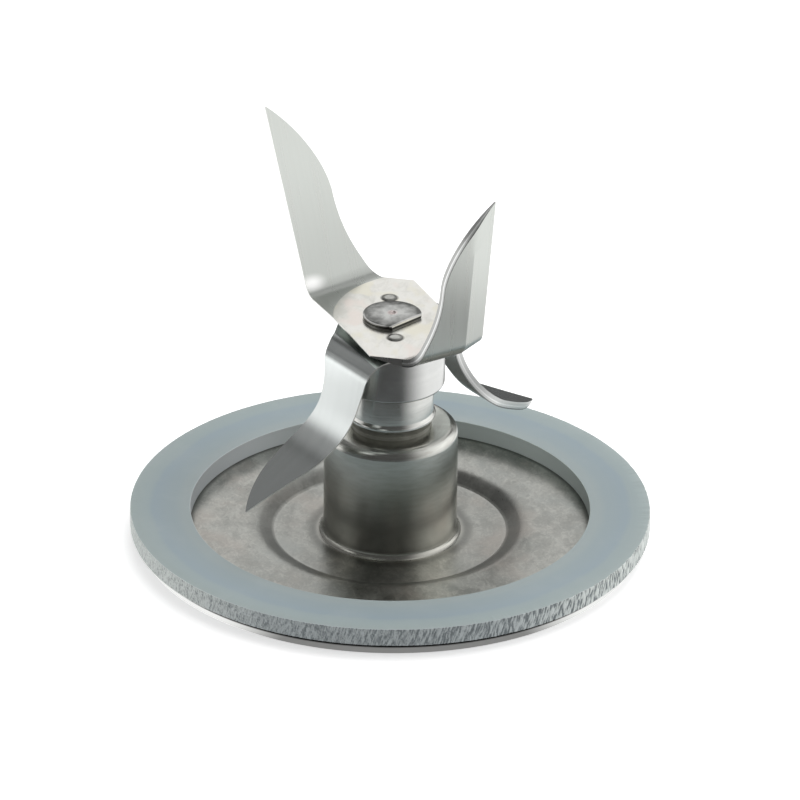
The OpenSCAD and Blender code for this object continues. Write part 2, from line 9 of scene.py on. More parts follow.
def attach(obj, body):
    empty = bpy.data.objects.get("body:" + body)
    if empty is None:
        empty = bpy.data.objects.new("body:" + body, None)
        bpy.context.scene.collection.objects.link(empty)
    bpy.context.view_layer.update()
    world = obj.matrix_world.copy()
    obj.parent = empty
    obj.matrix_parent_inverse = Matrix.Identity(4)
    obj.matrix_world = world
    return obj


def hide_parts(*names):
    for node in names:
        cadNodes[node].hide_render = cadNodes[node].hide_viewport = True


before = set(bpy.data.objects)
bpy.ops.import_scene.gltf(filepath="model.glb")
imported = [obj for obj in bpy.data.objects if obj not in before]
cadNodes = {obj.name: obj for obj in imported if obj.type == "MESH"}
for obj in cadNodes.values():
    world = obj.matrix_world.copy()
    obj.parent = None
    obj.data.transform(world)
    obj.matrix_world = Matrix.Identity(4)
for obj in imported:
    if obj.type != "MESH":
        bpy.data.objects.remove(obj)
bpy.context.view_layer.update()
mm = 0.001
print("frame loaded:", len(cadNodes), "nodes")


# ---- small helpers for node trees ----

def addNode(tree, kind, place, sockets=None, **settings):
    node = tree.nodes.new(kind)
    node.location = place
    for key, value in settings.items():
        setattr(node, key, value)
    for key, value in (sockets or {}).items():
        if isinstance(value, bpy.types.NodeSocket):
            tree.links.new(value, node.inputs[key])
        else:
            node.inputs[key].default_value = value
    return node


def mathNode(tree, operation, place, a, b=None, c=None, clamp=False):
    node = addNode(tree, "ShaderNodeMath", place, operation=operation, use_clamp=clamp)
    for i, value in enumerate((a, b, c)):
        if value is None:
            continue
        if isinstance(value, bpy.types.NodeSocket):
            tree.links.new(value, node.inputs[i])
        else:
            node.inputs[i].default_value = value
    return node.outputs[0]


def vectorNode(tree, operation, place, a, b=None, scale=None):
    node = addNode(tree, "ShaderNodeVectorMath", place, operation=operation)
    for key, value in ((0, a), (1, b), ("Scale", scale)):
        if value is None:
            continue
        if isinstance(value, bpy.types.NodeSocket):
            tree.links.new(value, node.inputs[key])
        else:
            node.inputs[key].default_value = value
    return node.outputs["Value" if operation in ("LENGTH", "DISTANCE", "DOT_PRODUCT") else "Vector"]


def smoothRange(tree, place, value, start, end, low=0.0, high=1.0):
    node = addNode(tree, "ShaderNodeMapRange", place, {0: value, 1: start, 2: end, 3: low, 4: high},
                   interpolation_type="SMOOTHSTEP")
    return node.outputs[0]


def mixColour(tree, place, factor, a, b, blend="MIX"):
    node = addNode(tree, "ShaderNodeMix", place, data_type="RGBA", blend_type=blend)
    for key, value in ((0, factor), (6, a), (7, b)):
        if isinstance(value, bpy.types.NodeSocket):
            tree.links.new(value, node.inputs[key])
        else:
            node.inputs[key].default_value = value
    return node.outputs[2]


def noise(tree, place, vector, scale, detail=3.0, roughness=0.55, distortion=0.0):
    node = addNode(tree, "ShaderNodeTexNoise", place,
                   {"Vector": vector, "Scale": scale, "Detail": detail, "Roughness": roughness,
                    "Distortion": distortion})
    return node.outputs[0]


def rgba(r, g, b):
    return (r, g, b, 1.0)


# ---- shared effects ----

def newGroup(name, inputs, outputs):
    group = bpy.data.node_groups.new(name, "ShaderNodeTree")
    for label, kind, value in inputs:
        socket = group.interface.new_socket(label, in_out="INPUT", socket_type=kind)
        if value is not None:
            socket.default_value = value
    for label, kind in outputs:
        group.interface.new_socket(label, in_out="OUTPUT", socket_type=kind)
    entry = group.nodes.new("NodeGroupInput")
    entry.location = (-900, 0)
    leave = group.nodes.new("NodeGroupOutput")
    leave.location = (700, 0)
    return group, entry.outputs, leave.inputs


def placeGroup(tree, group, place, sockets):
    node = addNode(tree, "ShaderNodeGroup", place, node_tree=group)
    for key, value in sockets.items():
        if isinstance(value, bpy.types.NodeSocket):
            tree.links.new(value, node.inputs[key])
        else:
            node.inputs[key].default_value = value
    return node.outputs


floatSocket = "NodeSocketFloat"
colourSocket = "NodeSocketColor"
vectorSocket = "NodeSocketVector"


def mottledTone():  # cloudy tone of used sheet metal: broad clouds, worm-like stains and fine specks
    group, given, out = newGroup("mottledTone", [
        ("Vector", vectorSocket, None), ("Cloud Size", floatSocket, 200.0), ("Stain Size", floatSocket, 700.0),
        ("Stain Amount", floatSocket, 0.5), ("Speck Amount", floatSocket, 0.2)],
        [("Tone", floatSocket), ("Stain", floatSocket)])
    clouds = noise(group, (-650, 300), given["Vector"], given["Cloud Size"], 4.0, 0.6, 0.4)
    stains = noise(group, (-650, 50), given["Vector"], given["Stain Size"], 5.0, 0.62, 1.6)
    ridge = mathNode(group, "ABSOLUTE", (-250, 50), mathNode(group, "SUBTRACT", (-450, 50), stains, 0.5))
    lines = smoothRange(group, (-100, 50), ridge, 0.0, 0.09, 1.0, 0.0)
    specks = noise(group, (-650, -200), given["Vector"], 4200.0, 2.0, 0.6)
    tone = mathNode(group, "ADD", (150, 200), clouds, mathNode(
        group, "MULTIPLY", (0, 0), mathNode(group, "SUBTRACT", (-100, -100), stains, 0.5), given["Stain Amount"]))
    tone = mathNode(group, "ADD", (350, 200), tone, mathNode(
        group, "MULTIPLY", (150, -200), mathNode(group, "SUBTRACT", (0, -200), specks, 0.5), given["Speck Amount"]))
    group.links.new(tone, out["Tone"])
    group.links.new(lines, out["Stain"])
    return group


def brushedLines():  # fine lines left by a belt or brush along one direction of a coordinate
    group, given, out = newGroup("brushedLines", [
        ("Vector", vectorSocket, None), ("Lines Per Metre", floatSocket, 4000.0), ("Line Stretch", floatSocket, 0.02)],
        [("Height", floatSocket), ("Tone", floatSocket)])
    parts = addNode(group, "ShaderNodeSeparateXYZ", (-650, 0), {"Vector": given["Vector"]})
    along = mathNode(group, "MULTIPLY", (-450, -100), parts.outputs[1], given["Line Stretch"])
    vector = addNode(group, "ShaderNodeCombineXYZ", (-250, 0), {0: parts.outputs[0], 1: along, 2: 0.0}).outputs[0]
    fine = noise(group, (0, 150), vector, given["Lines Per Metre"], 2.0, 0.6)
    broad = noise(group, (0, -150), vector, mathNode(group, "MULTIPLY", (-200, -200), given["Lines Per Metre"], 0.12),
                  3.0, 0.6)
    group.links.new(fine, out["Height"])
    group.links.new(broad, out["Tone"])
    return group


def turningMarks():  # rings left by a lathe round the shaft axis
    group, given, out = newGroup("turningMarks", [
        ("Vector", vectorSocket, None), ("Rings Per Metre", floatSocket, 3000.0)],
        [("Height", floatSocket), ("Tone", floatSocket)])
    parts = addNode(group, "ShaderNodeSeparateXYZ", (-700, 0), {"Vector": given["Vector"]})
    flat = addNode(group, "ShaderNodeCombineXYZ", (-500, 100), {0: parts.outputs[0], 1: parts.outputs[1], 2: 0.0})
    radius = vectorNode(group, "LENGTH", (-300, 100), flat.outputs[0])
    angle = mathNode(group, "ARCTAN2", (-300, -100), parts.outputs[1], parts.outputs[0])
    vector = addNode(group, "ShaderNodeCombineXYZ", (-100, 0), {
        0: radius, 1: parts.outputs[2], 2: mathNode(group, "MULTIPLY", (-200, -200), angle, 0.00015)}).outputs[0]
    fine = noise(group, (150, 150), vector, given["Rings Per Metre"], 2.0, 0.6)
    broad = noise(group, (150, -150), vector, 500.0, 2.0, 0.5)
    group.links.new(fine, out["Height"])
    group.links.new(broad, out["Tone"])
    return group


mottle = mottledTone()
brushed = brushedLines()
turned = turningMarks()
print("shared node groups made")


# ---- materials ----

def newMaterial(name):
    material = bpy.data.materials.new(name)
    material.use_nodes = True
    tree = material.node_tree
    shader = tree.nodes["Principled BSDF"]
    shader.location = (600, 0)
    tree.nodes["Material Output"].location = (900, 0)
    return material, tree, shader


def objectVector(tree):
    return addNode(tree, "ShaderNodeTexCoord", (-1400, 0)).outputs["Object"]


def addBump(tree, shader, height, distance, strength=1.0, under=None):
    sockets = {"Strength": strength, "Distance": distance, "Height": height}
    if under is not None:
        sockets["Normal"] = under
    node = addNode(tree, "ShaderNodeBump", (350, -350), sockets)
    tree.links.new(node.outputs[0], shader.inputs["Normal"])
    return node.outputs[0]


def useOn(material, *names):
    for name in names:
        for holder in cadNodes[name].material_slots:
            holder.material = material


plateLook = {
    "dark": rgba(0.345, 0.348, 0.325), "light": rgba(0.63, 0.633, 0.592), "warm": rgba(0.61, 0.54, 0.485),
    "cool": rgba(0.45, 0.485, 0.47), "hubTop": rgba(0.65, 0.655, 0.615), "hubFoot": rgba(0.545, 0.54, 0.49),
    "hubWarm": rgba(0.50, 0.485, 0.45), "shadeUnderGasket": rgba(0.03, 0.03, 0.03),
    "groove": rgba(0.13, 0.13, 0.12), "line": rgba(0.66, 0.66, 0.63), "rim": rgba(0.76, 0.765, 0.75),
    "roughness": 0.33, "hubRoughness": 0.25}


def makePlateSteel(look):
    material, tree, shader = newMaterial("plateSteel")
    vector = objectVector(tree)
    drawnOut = vectorNode(tree, "MULTIPLY", (-1250, 300), vector, (1.0, 0.65, 1.0))
    tone = placeGroup(tree, mottle, (-1100, 300), {
        "Vector": drawnOut, "Cloud Size": 350.0, "Stain Size": 1200.0, "Stain Amount": 0.6, "Speck Amount": 0.16})
    parts = addNode(tree, "ShaderNodeSeparateXYZ", (-1150, -200), {"Vector": vector})
    flat = addNode(tree, "ShaderNodeCombineXYZ", (-1000, -200), {0: parts.outputs[0], 1: parts.outputs[1], 2: 0.0})
    radius = vectorNode(tree, "LENGTH", (-850, -200), flat.outputs[0])
    level = smoothRange(tree, (-850, 300), tone["Tone"], 0.27, 0.73)
    colour = mixColour(tree, (-600, 300), level, look["dark"], look["light"])
    tint = noise(tree, (-850, 550), vector, 110.0, 3.0, 0.6)
    colour = mixColour(tree, (-400, 350), smoothRange(tree, (-600, 550), tint, 0.5, 0.72, 0.0, 0.45), colour, look["warm"])
    colour = mixColour(tree, (-200, 350), smoothRange(tree, (-400, 600), tint, 0.5, 0.3, 0.0, 0.4), colour, look["cool"])
    stain = mathNode(tree, "MULTIPLY", (-600, 0), tone["Stain"], 0.16)
    colour = mixColour(tree, (0, 350), stain, colour, look["dark"])
    # painted shade: a dark band painted on the well's sloping side
    groove = mathNode(tree, "MULTIPLY", (-600, -50), smoothRange(tree, (-800, 0), radius, 0.0166, 0.0142),
                      smoothRange(tree, (-800, -100), radius, 0.0134, 0.0138))
    # painted highlight: a light line at the foot of the well's slope
    foot = mathNode(tree, "MULTIPLY", (-600, -150), smoothRange(tree, (-800, -500), radius, 0.0138, 0.0135),
                    smoothRange(tree, (-800, -600), radius, 0.0129, 0.0133))
    colour = mixColour(tree, (60, 350), mathNode(tree, "MULTIPLY", (-450, -50), groove, 0.62), colour, look["groove"])
    colour = mixColour(tree, (120, 350), mathNode(tree, "MULTIPLY", (-450, -150), foot, 0.15), colour, look["line"])
    # painted shade: the sunk well darkened just inside its edge
    sunk = smoothRange(tree, (-500, -600), radius, 0.0142, 0.0134, 0.0, 0.12)
    colour = mixColour(tree, (135, 400), sunk, colour, look["groove"])
    # painted shadow: a dark ring round the foot of the hub
    ring = mathNode(tree, "MULTIPLY", (-300, -300), smoothRange(tree, (-500, -700), radius, 0.0101, 0.0089), 0.55)
    colour = mixColour(tree, (150, 450), ring, colour, look["groove"])
    # painted shade: the plate darkened where it meets the gasket's inner edge
    shadeAtGasketEdge = smoothRange(tree, (-500, -850), radius, 0.0224, 0.0230, 0.0, 0.75)
    colour = mixColour(tree, (170, 550), mathNode(tree, "MULTIPLY", (-300, -850), shadeAtGasketEdge, smoothRange(
        tree, (-500, -1000), radius, 0.0250, 0.0240)), colour, look["groove"])
    hub = smoothRange(tree, (-600, -200), radius, 0.0088, 0.0079)
    # painted light: the hub's colour grows lighter from its foot to its top
    rise = smoothRange(tree, (-600, -400), parts.outputs[2], 0.001, 0.0135)
    hubColour = mixColour(tree, (-200, -100), rise, look["hubFoot"], look["hubTop"])
    drawn = addNode(tree, "ShaderNodeCombineXYZ", (-850, -600), {
        0: mathNode(tree, "ARCTAN2", (-1000, -600), parts.outputs[1], parts.outputs[0]),
        1: mathNode(tree, "MULTIPLY", (-1000, -800), parts.outputs[2], 700.0), 2: 0.0}).outputs[0]
    drawnLines = noise(tree, (-600, -650), drawn, 3.4, 3.0, 0.6)
    hubColour = mixColour(tree, (-50, -100), smoothRange(tree, (-200, -250), drawnLines, 0.35, 0.7, 0.0, 0.5), hubColour,
                          look["hubWarm"])
    colour = mixColour(tree, (200, 200), hub, colour, hubColour)
    # painted highlight: the rim's edge made lighter so that it shows as a bright line
    atRim = smoothRange(tree, (200, 500), radius, 0.0280, 0.0284)
    colour = mixColour(tree, (350, 300), atRim, colour, look["rim"])
    # painted shade: a dark line on the rim just under the gasket's edge
    sag = mathNode(tree, "MULTIPLY", (-300, 800), mathNode(tree, "POWER", (-500, 800), parts.outputs[0], 2.0), 0.27)
    shaded = mathNode(tree, "ADD", (-100, 800), parts.outputs[2], sag)
    under = mathNode(tree, "MULTIPLY", (200, 700), atRim, smoothRange(tree, (0, 700), shaded, 0.00062, 0.00082))
    colour = mixColour(tree, (450, 300), under, colour, look["shadeUnderGasket"])
    tree.links.new(colour, shader.inputs["Base Color"])
    shader.inputs["Metallic"].default_value = 1.0
    rough = mathNode(tree, "ADD", (0, -100), look["roughness"], mathNode(
        tree, "MULTIPLY", (-200, -250), mathNode(tree, "SUBTRACT", (-400, -250), tone["Tone"], 0.5), 0.22))
    rough = addNode(tree, "ShaderNodeMix", (250, -100), {0: hub, 2: rough, 3: look["hubRoughness"]}, data_type="FLOAT")
    tree.links.new(rough.outputs[0], shader.inputs["Roughness"])
    height = addNode(tree, "ShaderNodeMix", (0, -500), {
        0: hub, 2: mathNode(tree, "SUBTRACT", (-200, -450), tone["Tone"], mathNode(
            tree, "MULTIPLY", (-400, -450), tone["Stain"], 0.12)),
        3: mathNode(tree, "MULTIPLY", (-200, -650), drawnLines, 0.5)}, data_type="FLOAT").outputs[0]
    addBump(tree, shader, height, 0.000012, 0.5)
    return material


gasketLook = {
    "bands": [(0.0238, rgba(0.335, 0.390, 0.395)), (0.0252, rgba(0.308, 0.372, 0.394)),
              (0.0272, rgba(0.298, 0.366, 0.402)), (0.0280, rgba(0.326, 0.390, 0.398)),
              (0.0296, rgba(0.341, 0.401, 0.400))],
    "wearAndCutShade": rgba(0.39, 0.44, 0.445), "edge": rgba(0.43, 0.48, 0.475), "side": rgba(0.62, 0.66, 0.64), "sideFrontShade": rgba(0.43, 0.47, 0.48),
    "groove": rgba(0.155, 0.178, 0.187), "boreShadedRight": rgba(0.42, 0.475, 0.455),
    "boreLitLeft": rgba(0.535, 0.57, 0.585), "roughness": 0.5}


def makeGasketRubber(look):
    material, tree, shader = newMaterial("gasketRubber")
    vector = objectVector(tree)
    marks = placeGroup(tree, turned, (-1100, 300), {"Vector": vector, "Rings Per Metre": 1400.0})
    cloud = noise(tree, (-1100, 0), vector, 160.0, 4.0, 0.6)
    parts = addNode(tree, "ShaderNodeSeparateXYZ", (-1150, -300), {"Vector": vector})
    flat = addNode(tree, "ShaderNodeCombineXYZ", (-1000, -300), {0: parts.outputs[0], 1: parts.outputs[1], 2: 0.0})
    radius = vectorNode(tree, "LENGTH", (-850, -300), flat.outputs[0])
    wander = mathNode(tree, "MULTIPLY", (-850, 150), mathNode(tree, "SUBTRACT", (-950, 150), cloud, 0.5), 0.0012)
    wandered = mathNode(tree, "ADD", (-700, 150), radius, wander)
    colour = look["bands"][0][1]
    for i, ((r0, tone0), (r1, tone1)) in enumerate(zip(look["bands"], look["bands"][1:])):
        colour = mixColour(tree, (-600 + 120 * i, 400), smoothRange(tree, (-600 + 120 * i, 600), wandered, r0, r1),
                           colour, tone1)
    colour = mixColour(tree, (-50, 400), smoothRange(tree, (-850, 0), cloud, 0.45, 0.75, 0.0, 0.3), colour, look["wearAndCutShade"])
    line = mathNode(tree, "MULTIPLY", (-300, 250), smoothRange(tree, (-500, 250), radius, 0.0293, 0.02975),
                    smoothRange(tree, (-500, 100), radius, 0.0300, 0.02985))
    colour = mixColour(tree, (100, 400), mathNode(tree, "MULTIPLY", (-100, 250), line, 0.12), colour, look["edge"])
    cut = addNode(tree, "ShaderNodeAttribute", (-600, -500), attribute_name="cutDepth").outputs["Fac"]
    onSide = smoothRange(tree, (-400, -300), cut, 0.001, 0.01)
    grain = noise(tree, (-600, -700), vector, 5200.0, 3.0, 0.65)
    # painted shade in the deeper cuts of the torn wall, mixed with the grain's own random tone
    wearAndCutShade = mathNode(tree, "ADD", (-300, -500), cut, mathNode(
        tree, "MULTIPLY", (-400, -700), mathNode(tree, "SUBTRACT", (-500, -800), grain, 0.5), 0.5))
    # painted light and shade: the outer wall darker at the front and lighter towards the left and right
    paintedSideLight = mixColour(tree, (-250, -350), smoothRange(tree, (-400, -450), mathNode(
        tree, "ABSOLUTE", (-500, -400), parts.outputs[0]), 0.011, 0.027), look["sideFrontShade"], look["side"])
    sideColour = mixColour(tree, (-100, -400), smoothRange(tree, (-200, -500), wearAndCutShade, 0.2, 0.95), paintedSideLight,
                           look["groove"])
    colour = mixColour(tree, (250, 300), onSide, colour, sideColour)
    # painted light and shade: the gasket's bore lighter on the left and darker on the right
    boreColour = mixColour(tree, (250, 750), smoothRange(tree, (50, 750), parts.outputs[0], 0.002, -0.021),
                           look["boreShadedRight"], look["boreLitLeft"])
    bore = smoothRange(tree, (250, 600), radius, 0.02315, 0.02308)
    colour = mixColour(tree, (400, 300), bore, colour, boreColour)
    tree.links.new(colour, shader.inputs["Base Color"])
    rough = mathNode(tree, "ADD", (100, -50), look["roughness"], mathNode(
        tree, "MULTIPLY", (-100, -50), cloud, 0.12))
    tree.links.new(rough, shader.inputs["Roughness"])
    smoothTop = mathNode(tree, "MULTIPLY", (-350, 100), marks["Height"], 0.05)
    height = addNode(tree, "ShaderNodeMix", (100, -400), {0: onSide, 2: smoothTop, 3: mathNode(
        tree, "MULTIPLY", (0, -600), grain, 0.12)}, data_type="FLOAT").outputs[0]
    addBump(tree, shader, height, 0.00035, 1.0)
    return material


bladeLook = {
    "upper": {"light": rgba(0.668, 0.693, 0.658), "dark": rgba(0.645, 0.67, 0.635), "roughness": 0.24,
              "line": rgba(0.10, 0.105, 0.10), "torn": rgba(0.46, 0.465, 0.455), "shine": rgba(0.88, 0.89, 0.88),
              "thin": rgba(0.80, 0.80, 0.78), "thinRoot": rgba(0.60, 0.60, 0.58), "rootShade": 0.82, "rootPlace": (0.011, 0.027),
              # marks on the flat blank: place and turn, reach, colour, share; the glint is a painted highlight, the
              # fold mark a painted shade
              "marks": [("glint", (-0.0056, 0.0104, 12.9), (0.0024, 0.0014), rgba(0.99, 0.99, 0.975), 1.0)]},
    "lower": {"light": rgba(0.685, 0.715, 0.705), "dark": rgba(0.655, 0.685, 0.675), "roughness": 0.20,
              "line": rgba(0.16, 0.17, 0.165), "torn": rgba(0.62, 0.63, 0.62), "shine": rgba(0.80, 0.81, 0.80),
              "thin": rgba(0.92, 0.93, 0.92), "thinRoot": rgba(0.22, 0.22, 0.21), "rootShade": 1.25, "rootPlace": (0.0085, 0.013),
              "marks": [("fold", (-0.0027, 0.0069, 0.0), (0.010, 0.0011), rgba(0.22, 0.23, 0.225), 0.85)]},
    "middleLight": rgba(0.99, 0.98, 0.93), "middleDark": rgba(0.80, 0.79, 0.735),
    "middleWarm": rgba(0.98, 0.90, 0.84), "middleCream": rgba(0.95, 0.92, 0.79), "pins": [(-0.356, 5.088), (0.356, -5.088)], "ring": rgba(0.10, 0.10, 0.09),
    "patchCentre": (0.004606, 0.000509, 0.0), "patchReach": 0.01136}


def workedMask(tree, vector, blank, look):  # the ground and stained patch on the middle of the upper blade
    parts = addNode(tree, "ShaderNodeSeparateXYZ", (-1200, 0), {"Vector": vector})
    flat = addNode(tree, "ShaderNodeCombineXYZ", (-1050, 0), {0: parts.outputs[0], 1: parts.outputs[1], 2: 0.0})
    away = vectorNode(tree, "DISTANCE", (-900, 0), flat.outputs[0], look["patchCentre"])
    front = mathNode(tree, "MAXIMUM", (-900, 200), 0.0, mathNode(
        tree, "SUBTRACT", (-1050, 200), -0.003, parts.outputs[1]))  # there the patch runs on to the corner
    away = mathNode(tree, "SUBTRACT", (-800, 100), away, mathNode(tree, "MULTIPLY", (-850, 200), front, 0.25))
    inside = smoothRange(tree, (-700, 0), away, look["patchReach"] + 0.0001, look["patchReach"] - 0.0001)
    normal = addNode(tree, "ShaderNodeNewGeometry", (-1200, -250)).outputs["Normal"]
    upright = addNode(tree, "ShaderNodeSeparateXYZ", (-1000, -250), {"Vector": normal}).outputs[2]
    level = smoothRange(tree, (-700, -250), upright, 0.5, 0.7)
    return mathNode(tree, "MULTIPLY", (-500, 0), inside, level)


def makeBladeSteel(name, look, middle=None):
    material, tree, shader = newMaterial(name)
    vector = objectVector(tree)
    blank = addNode(tree, "ShaderNodeUVMap", (-1400, -300), uv_map="blank").outputs[0]
    border, down, rest = addNode(tree, "ShaderNodeSeparateXYZ", (-1200, 700), {
        "Vector": addNode(tree, "ShaderNodeUVMap", (-1400, 700), uv_map="border").outputs[0]}).outputs
    lines = placeGroup(tree, brushed, (-1100, -300), {
        "Vector": blank, "Lines Per Metre": 9000.0, "Line Stretch": 0.03})
    level = smoothRange(tree, (-850, -200), lines["Tone"], 0.3, 0.7)
    colour = mixColour(tree, (-600, 200), level, look["dark"], look["light"])
    away = smoothRange(tree, (-600, 0), vectorNode(tree, "LENGTH", (-800, 0), blank), look["rootPlace"][0],
                       look["rootPlace"][1], look["rootShade"], 1.0)
    colour = vectorNode(tree, "SCALE", (-450, 200), colour, scale=away)
    onWall = smoothRange(tree, (-800, 900), border, 1.5, 1.9)
    thinWall = smoothRange(tree, (-800, 750), border, 2.3, 2.7)
    line = mathNode(tree, "MULTIPLY", (-600, 850), smoothRange(tree, (-800, 1050), down, 0.80, 0.92), onWall)
    line = mathNode(tree, "MULTIPLY", (-450, 850), line, mathNode(tree, "SUBTRACT", (-600, 750), 0.85, thinWall, clamp=True))
    torn = smoothRange(tree, (-800, 1200), down, 0.50, 0.40)
    wallColour = mixColour(tree, (-600, 1000), torn, look["shine"], look["torn"])
    wallColour = mixColour(tree, (-600, 1150), smoothRange(tree, (-800, 1350), down, 0.58, 0.68, 0.0, 0.8), wallColour,
                           look["torn"])
    # painted light and shade on the thin ground walls: darker near the root, lighter further out
    thin = mixColour(tree, (-600, 1300), smoothRange(tree, (-800, 1500), vectorNode(
        tree, "LENGTH", (-950, 1500), blank), 0.0115, 0.015), look["thinRoot"], look["thin"])
    wallColour = mixColour(tree, (-400, 1000), thinWall, wallColour, thin)
    # painted marks: a highlight and a shade laid on the flat blank
    for label, place, reach, tone, share in look["marks"]:
        spot = vectorNode(tree, "SUBTRACT", (-1200, 1100), blank, (place[0], place[1], 0.0))
        spot = addNode(tree, "ShaderNodeVectorRotate", (-1050, 1100), {"Vector": spot, "Angle": math.radians(-place[2])},
                       rotation_type="Z_AXIS").outputs[0]
        spot = vectorNode(tree, "MULTIPLY", (-900, 1100), spot, (1 / reach[0], 1 / reach[1], 0.0))
        spot = smoothRange(tree, (-700, 1100), vectorNode(tree, "LENGTH", (-800, 1100), spot), 1.0, 0.1, 0.0, share)
        colour = mixColour(tree, (-400, 1100), spot, colour, tone)
    rough = mathNode(tree, "ADD", (-300, -100), look["roughness"], mathNode(
        tree, "MULTIPLY", (-450, -200), lines["Tone"], 0.08))
    height = mathNode(tree, "MULTIPLY", (-450, -450), lines["Height"], 0.3)
    if middle:
        ground = vectorNode(tree, "MULTIPLY", (-1250, 400), vector, (1.0, 0.55, 1.0))
        tone = placeGroup(tree, mottle, (-1100, 400), {
            "Vector": ground, "Cloud Size": 280.0, "Stain Size": 900.0, "Stain Amount": 0.4, "Speck Amount": 0.08})
        worked = mixColour(tree, (-600, 500), smoothRange(tree, (-850, 450), tone["Tone"], 0.28, 0.6),
                           middle["middleDark"], middle["middleLight"])
        tint = noise(tree, (-850, 700), ground, 260.0, 2.0, 0.6)
        worked = mixColour(tree, (-400, 600), smoothRange(tree, (-600, 700), tint, 0.52, 0.66, 0.0, 0.85), worked,
                           middle["middleWarm"])
        worked = mixColour(tree, (-350, 700), smoothRange(tree, (-600, 850), tint, 0.48, 0.36, 0.0, 0.85), worked,
                           middle["middleCream"])
        mask = workedMask(tree, vector, blank, middle)
        pins = [vectorNode(tree, "DISTANCE", (-600, 1300), vectorNode(
            tree, "MULTIPLY", (-800, 1300), vector, (1.0, 1.0, 0.0)), (place[0] * mm, place[1] * mm, 0.0))
            for place in middle["pins"]]
        ring = smoothRange(tree, (-400, 1300), mathNode(tree, "MINIMUM", (-500, 1300), *pins), 0.00114, 0.00098)
        worked = mixColour(tree, (-250, 600), mathNode(tree, "MULTIPLY", (-300, 1300), ring, 0.5), worked,
                           middle["ring"])
        colour = mixColour(tree, (-150, 350), mask, colour, worked)
        rough = addNode(tree, "ShaderNodeMix", (0, -100), {0: mask, 2: rough, 3: 0.3}, data_type="FLOAT").outputs[0]
        height = addNode(tree, "ShaderNodeMix", (0, -450), {
            0: mask, 2: height, 3: mathNode(tree, "MULTIPLY", (-200, -600), tone["Tone"], 0.9)},
            data_type="FLOAT").outputs[0]
    colour = mixColour(tree, (150, 350), onWall, colour, wallColour)
    colour = mixColour(tree, (250, 350), line, colour, look["line"])
    tree.links.new(colour, shader.inputs["Base Color"])
    tree.links.new(rough, shader.inputs["Roughness"])
    shader.inputs["Metallic"].default_value = 1.0
    addBump(tree, shader, height, 0.000012, 0.5)
    return material


def makeTurnedSteel(name, light, dark, roughness, depth=0.00002, rings=5000.0):
    material, tree, shader = newMaterial(name)
    vector = objectVector(tree)
    marks = placeGroup(tree, turned, (-1000, 0), {"Vector": vector, "Rings Per Metre": rings})
    cloud = noise(tree, (-1000, -300), vector, 300.0, 4.0, 0.6)
    level = mathNode(tree, "ADD", (-700, -100), mathNode(tree, "MULTIPLY", (-800, 100), marks["Tone"], 0.6),
                     mathNode(tree, "MULTIPLY", (-800, -200), cloud, 0.4))
    colour = mixColour(tree, (-400, 200), smoothRange(tree, (-550, 0), level, 0.35, 0.65), dark, light)
    tree.links.new(colour, shader.inputs["Base Color"])
    rough = mathNode(tree, "ADD", (-300, -200), roughness, mathNode(
        tree, "MULTIPLY", (-450, -300), mathNode(tree, "SUBTRACT", (-550, -400), cloud, 0.5), 0.15))
    tree.links.new(rough, shader.inputs["Roughness"])
    shader.inputs["Metallic"].default_value = 1.0
    addBump(tree, shader, marks["Height"], depth, 0.6)
    return material


shaftLook = {
    "light": rgba(0.66, 0.665, 0.645), "dark": rgba(0.13, 0.132, 0.125), "rust": rgba(0.80, 0.64, 0.62),
    "shine": rgba(0.80, 0.80, 0.78), "deepShade": rgba(0.05, 0.05, 0.047), "flange": rgba(0.30, 0.30, 0.285),
    "roughness": 0.28, "capFoot": 0.02818, "flatNormal": (0.6947, -0.7193, 0.0), "flat": 0.0024}


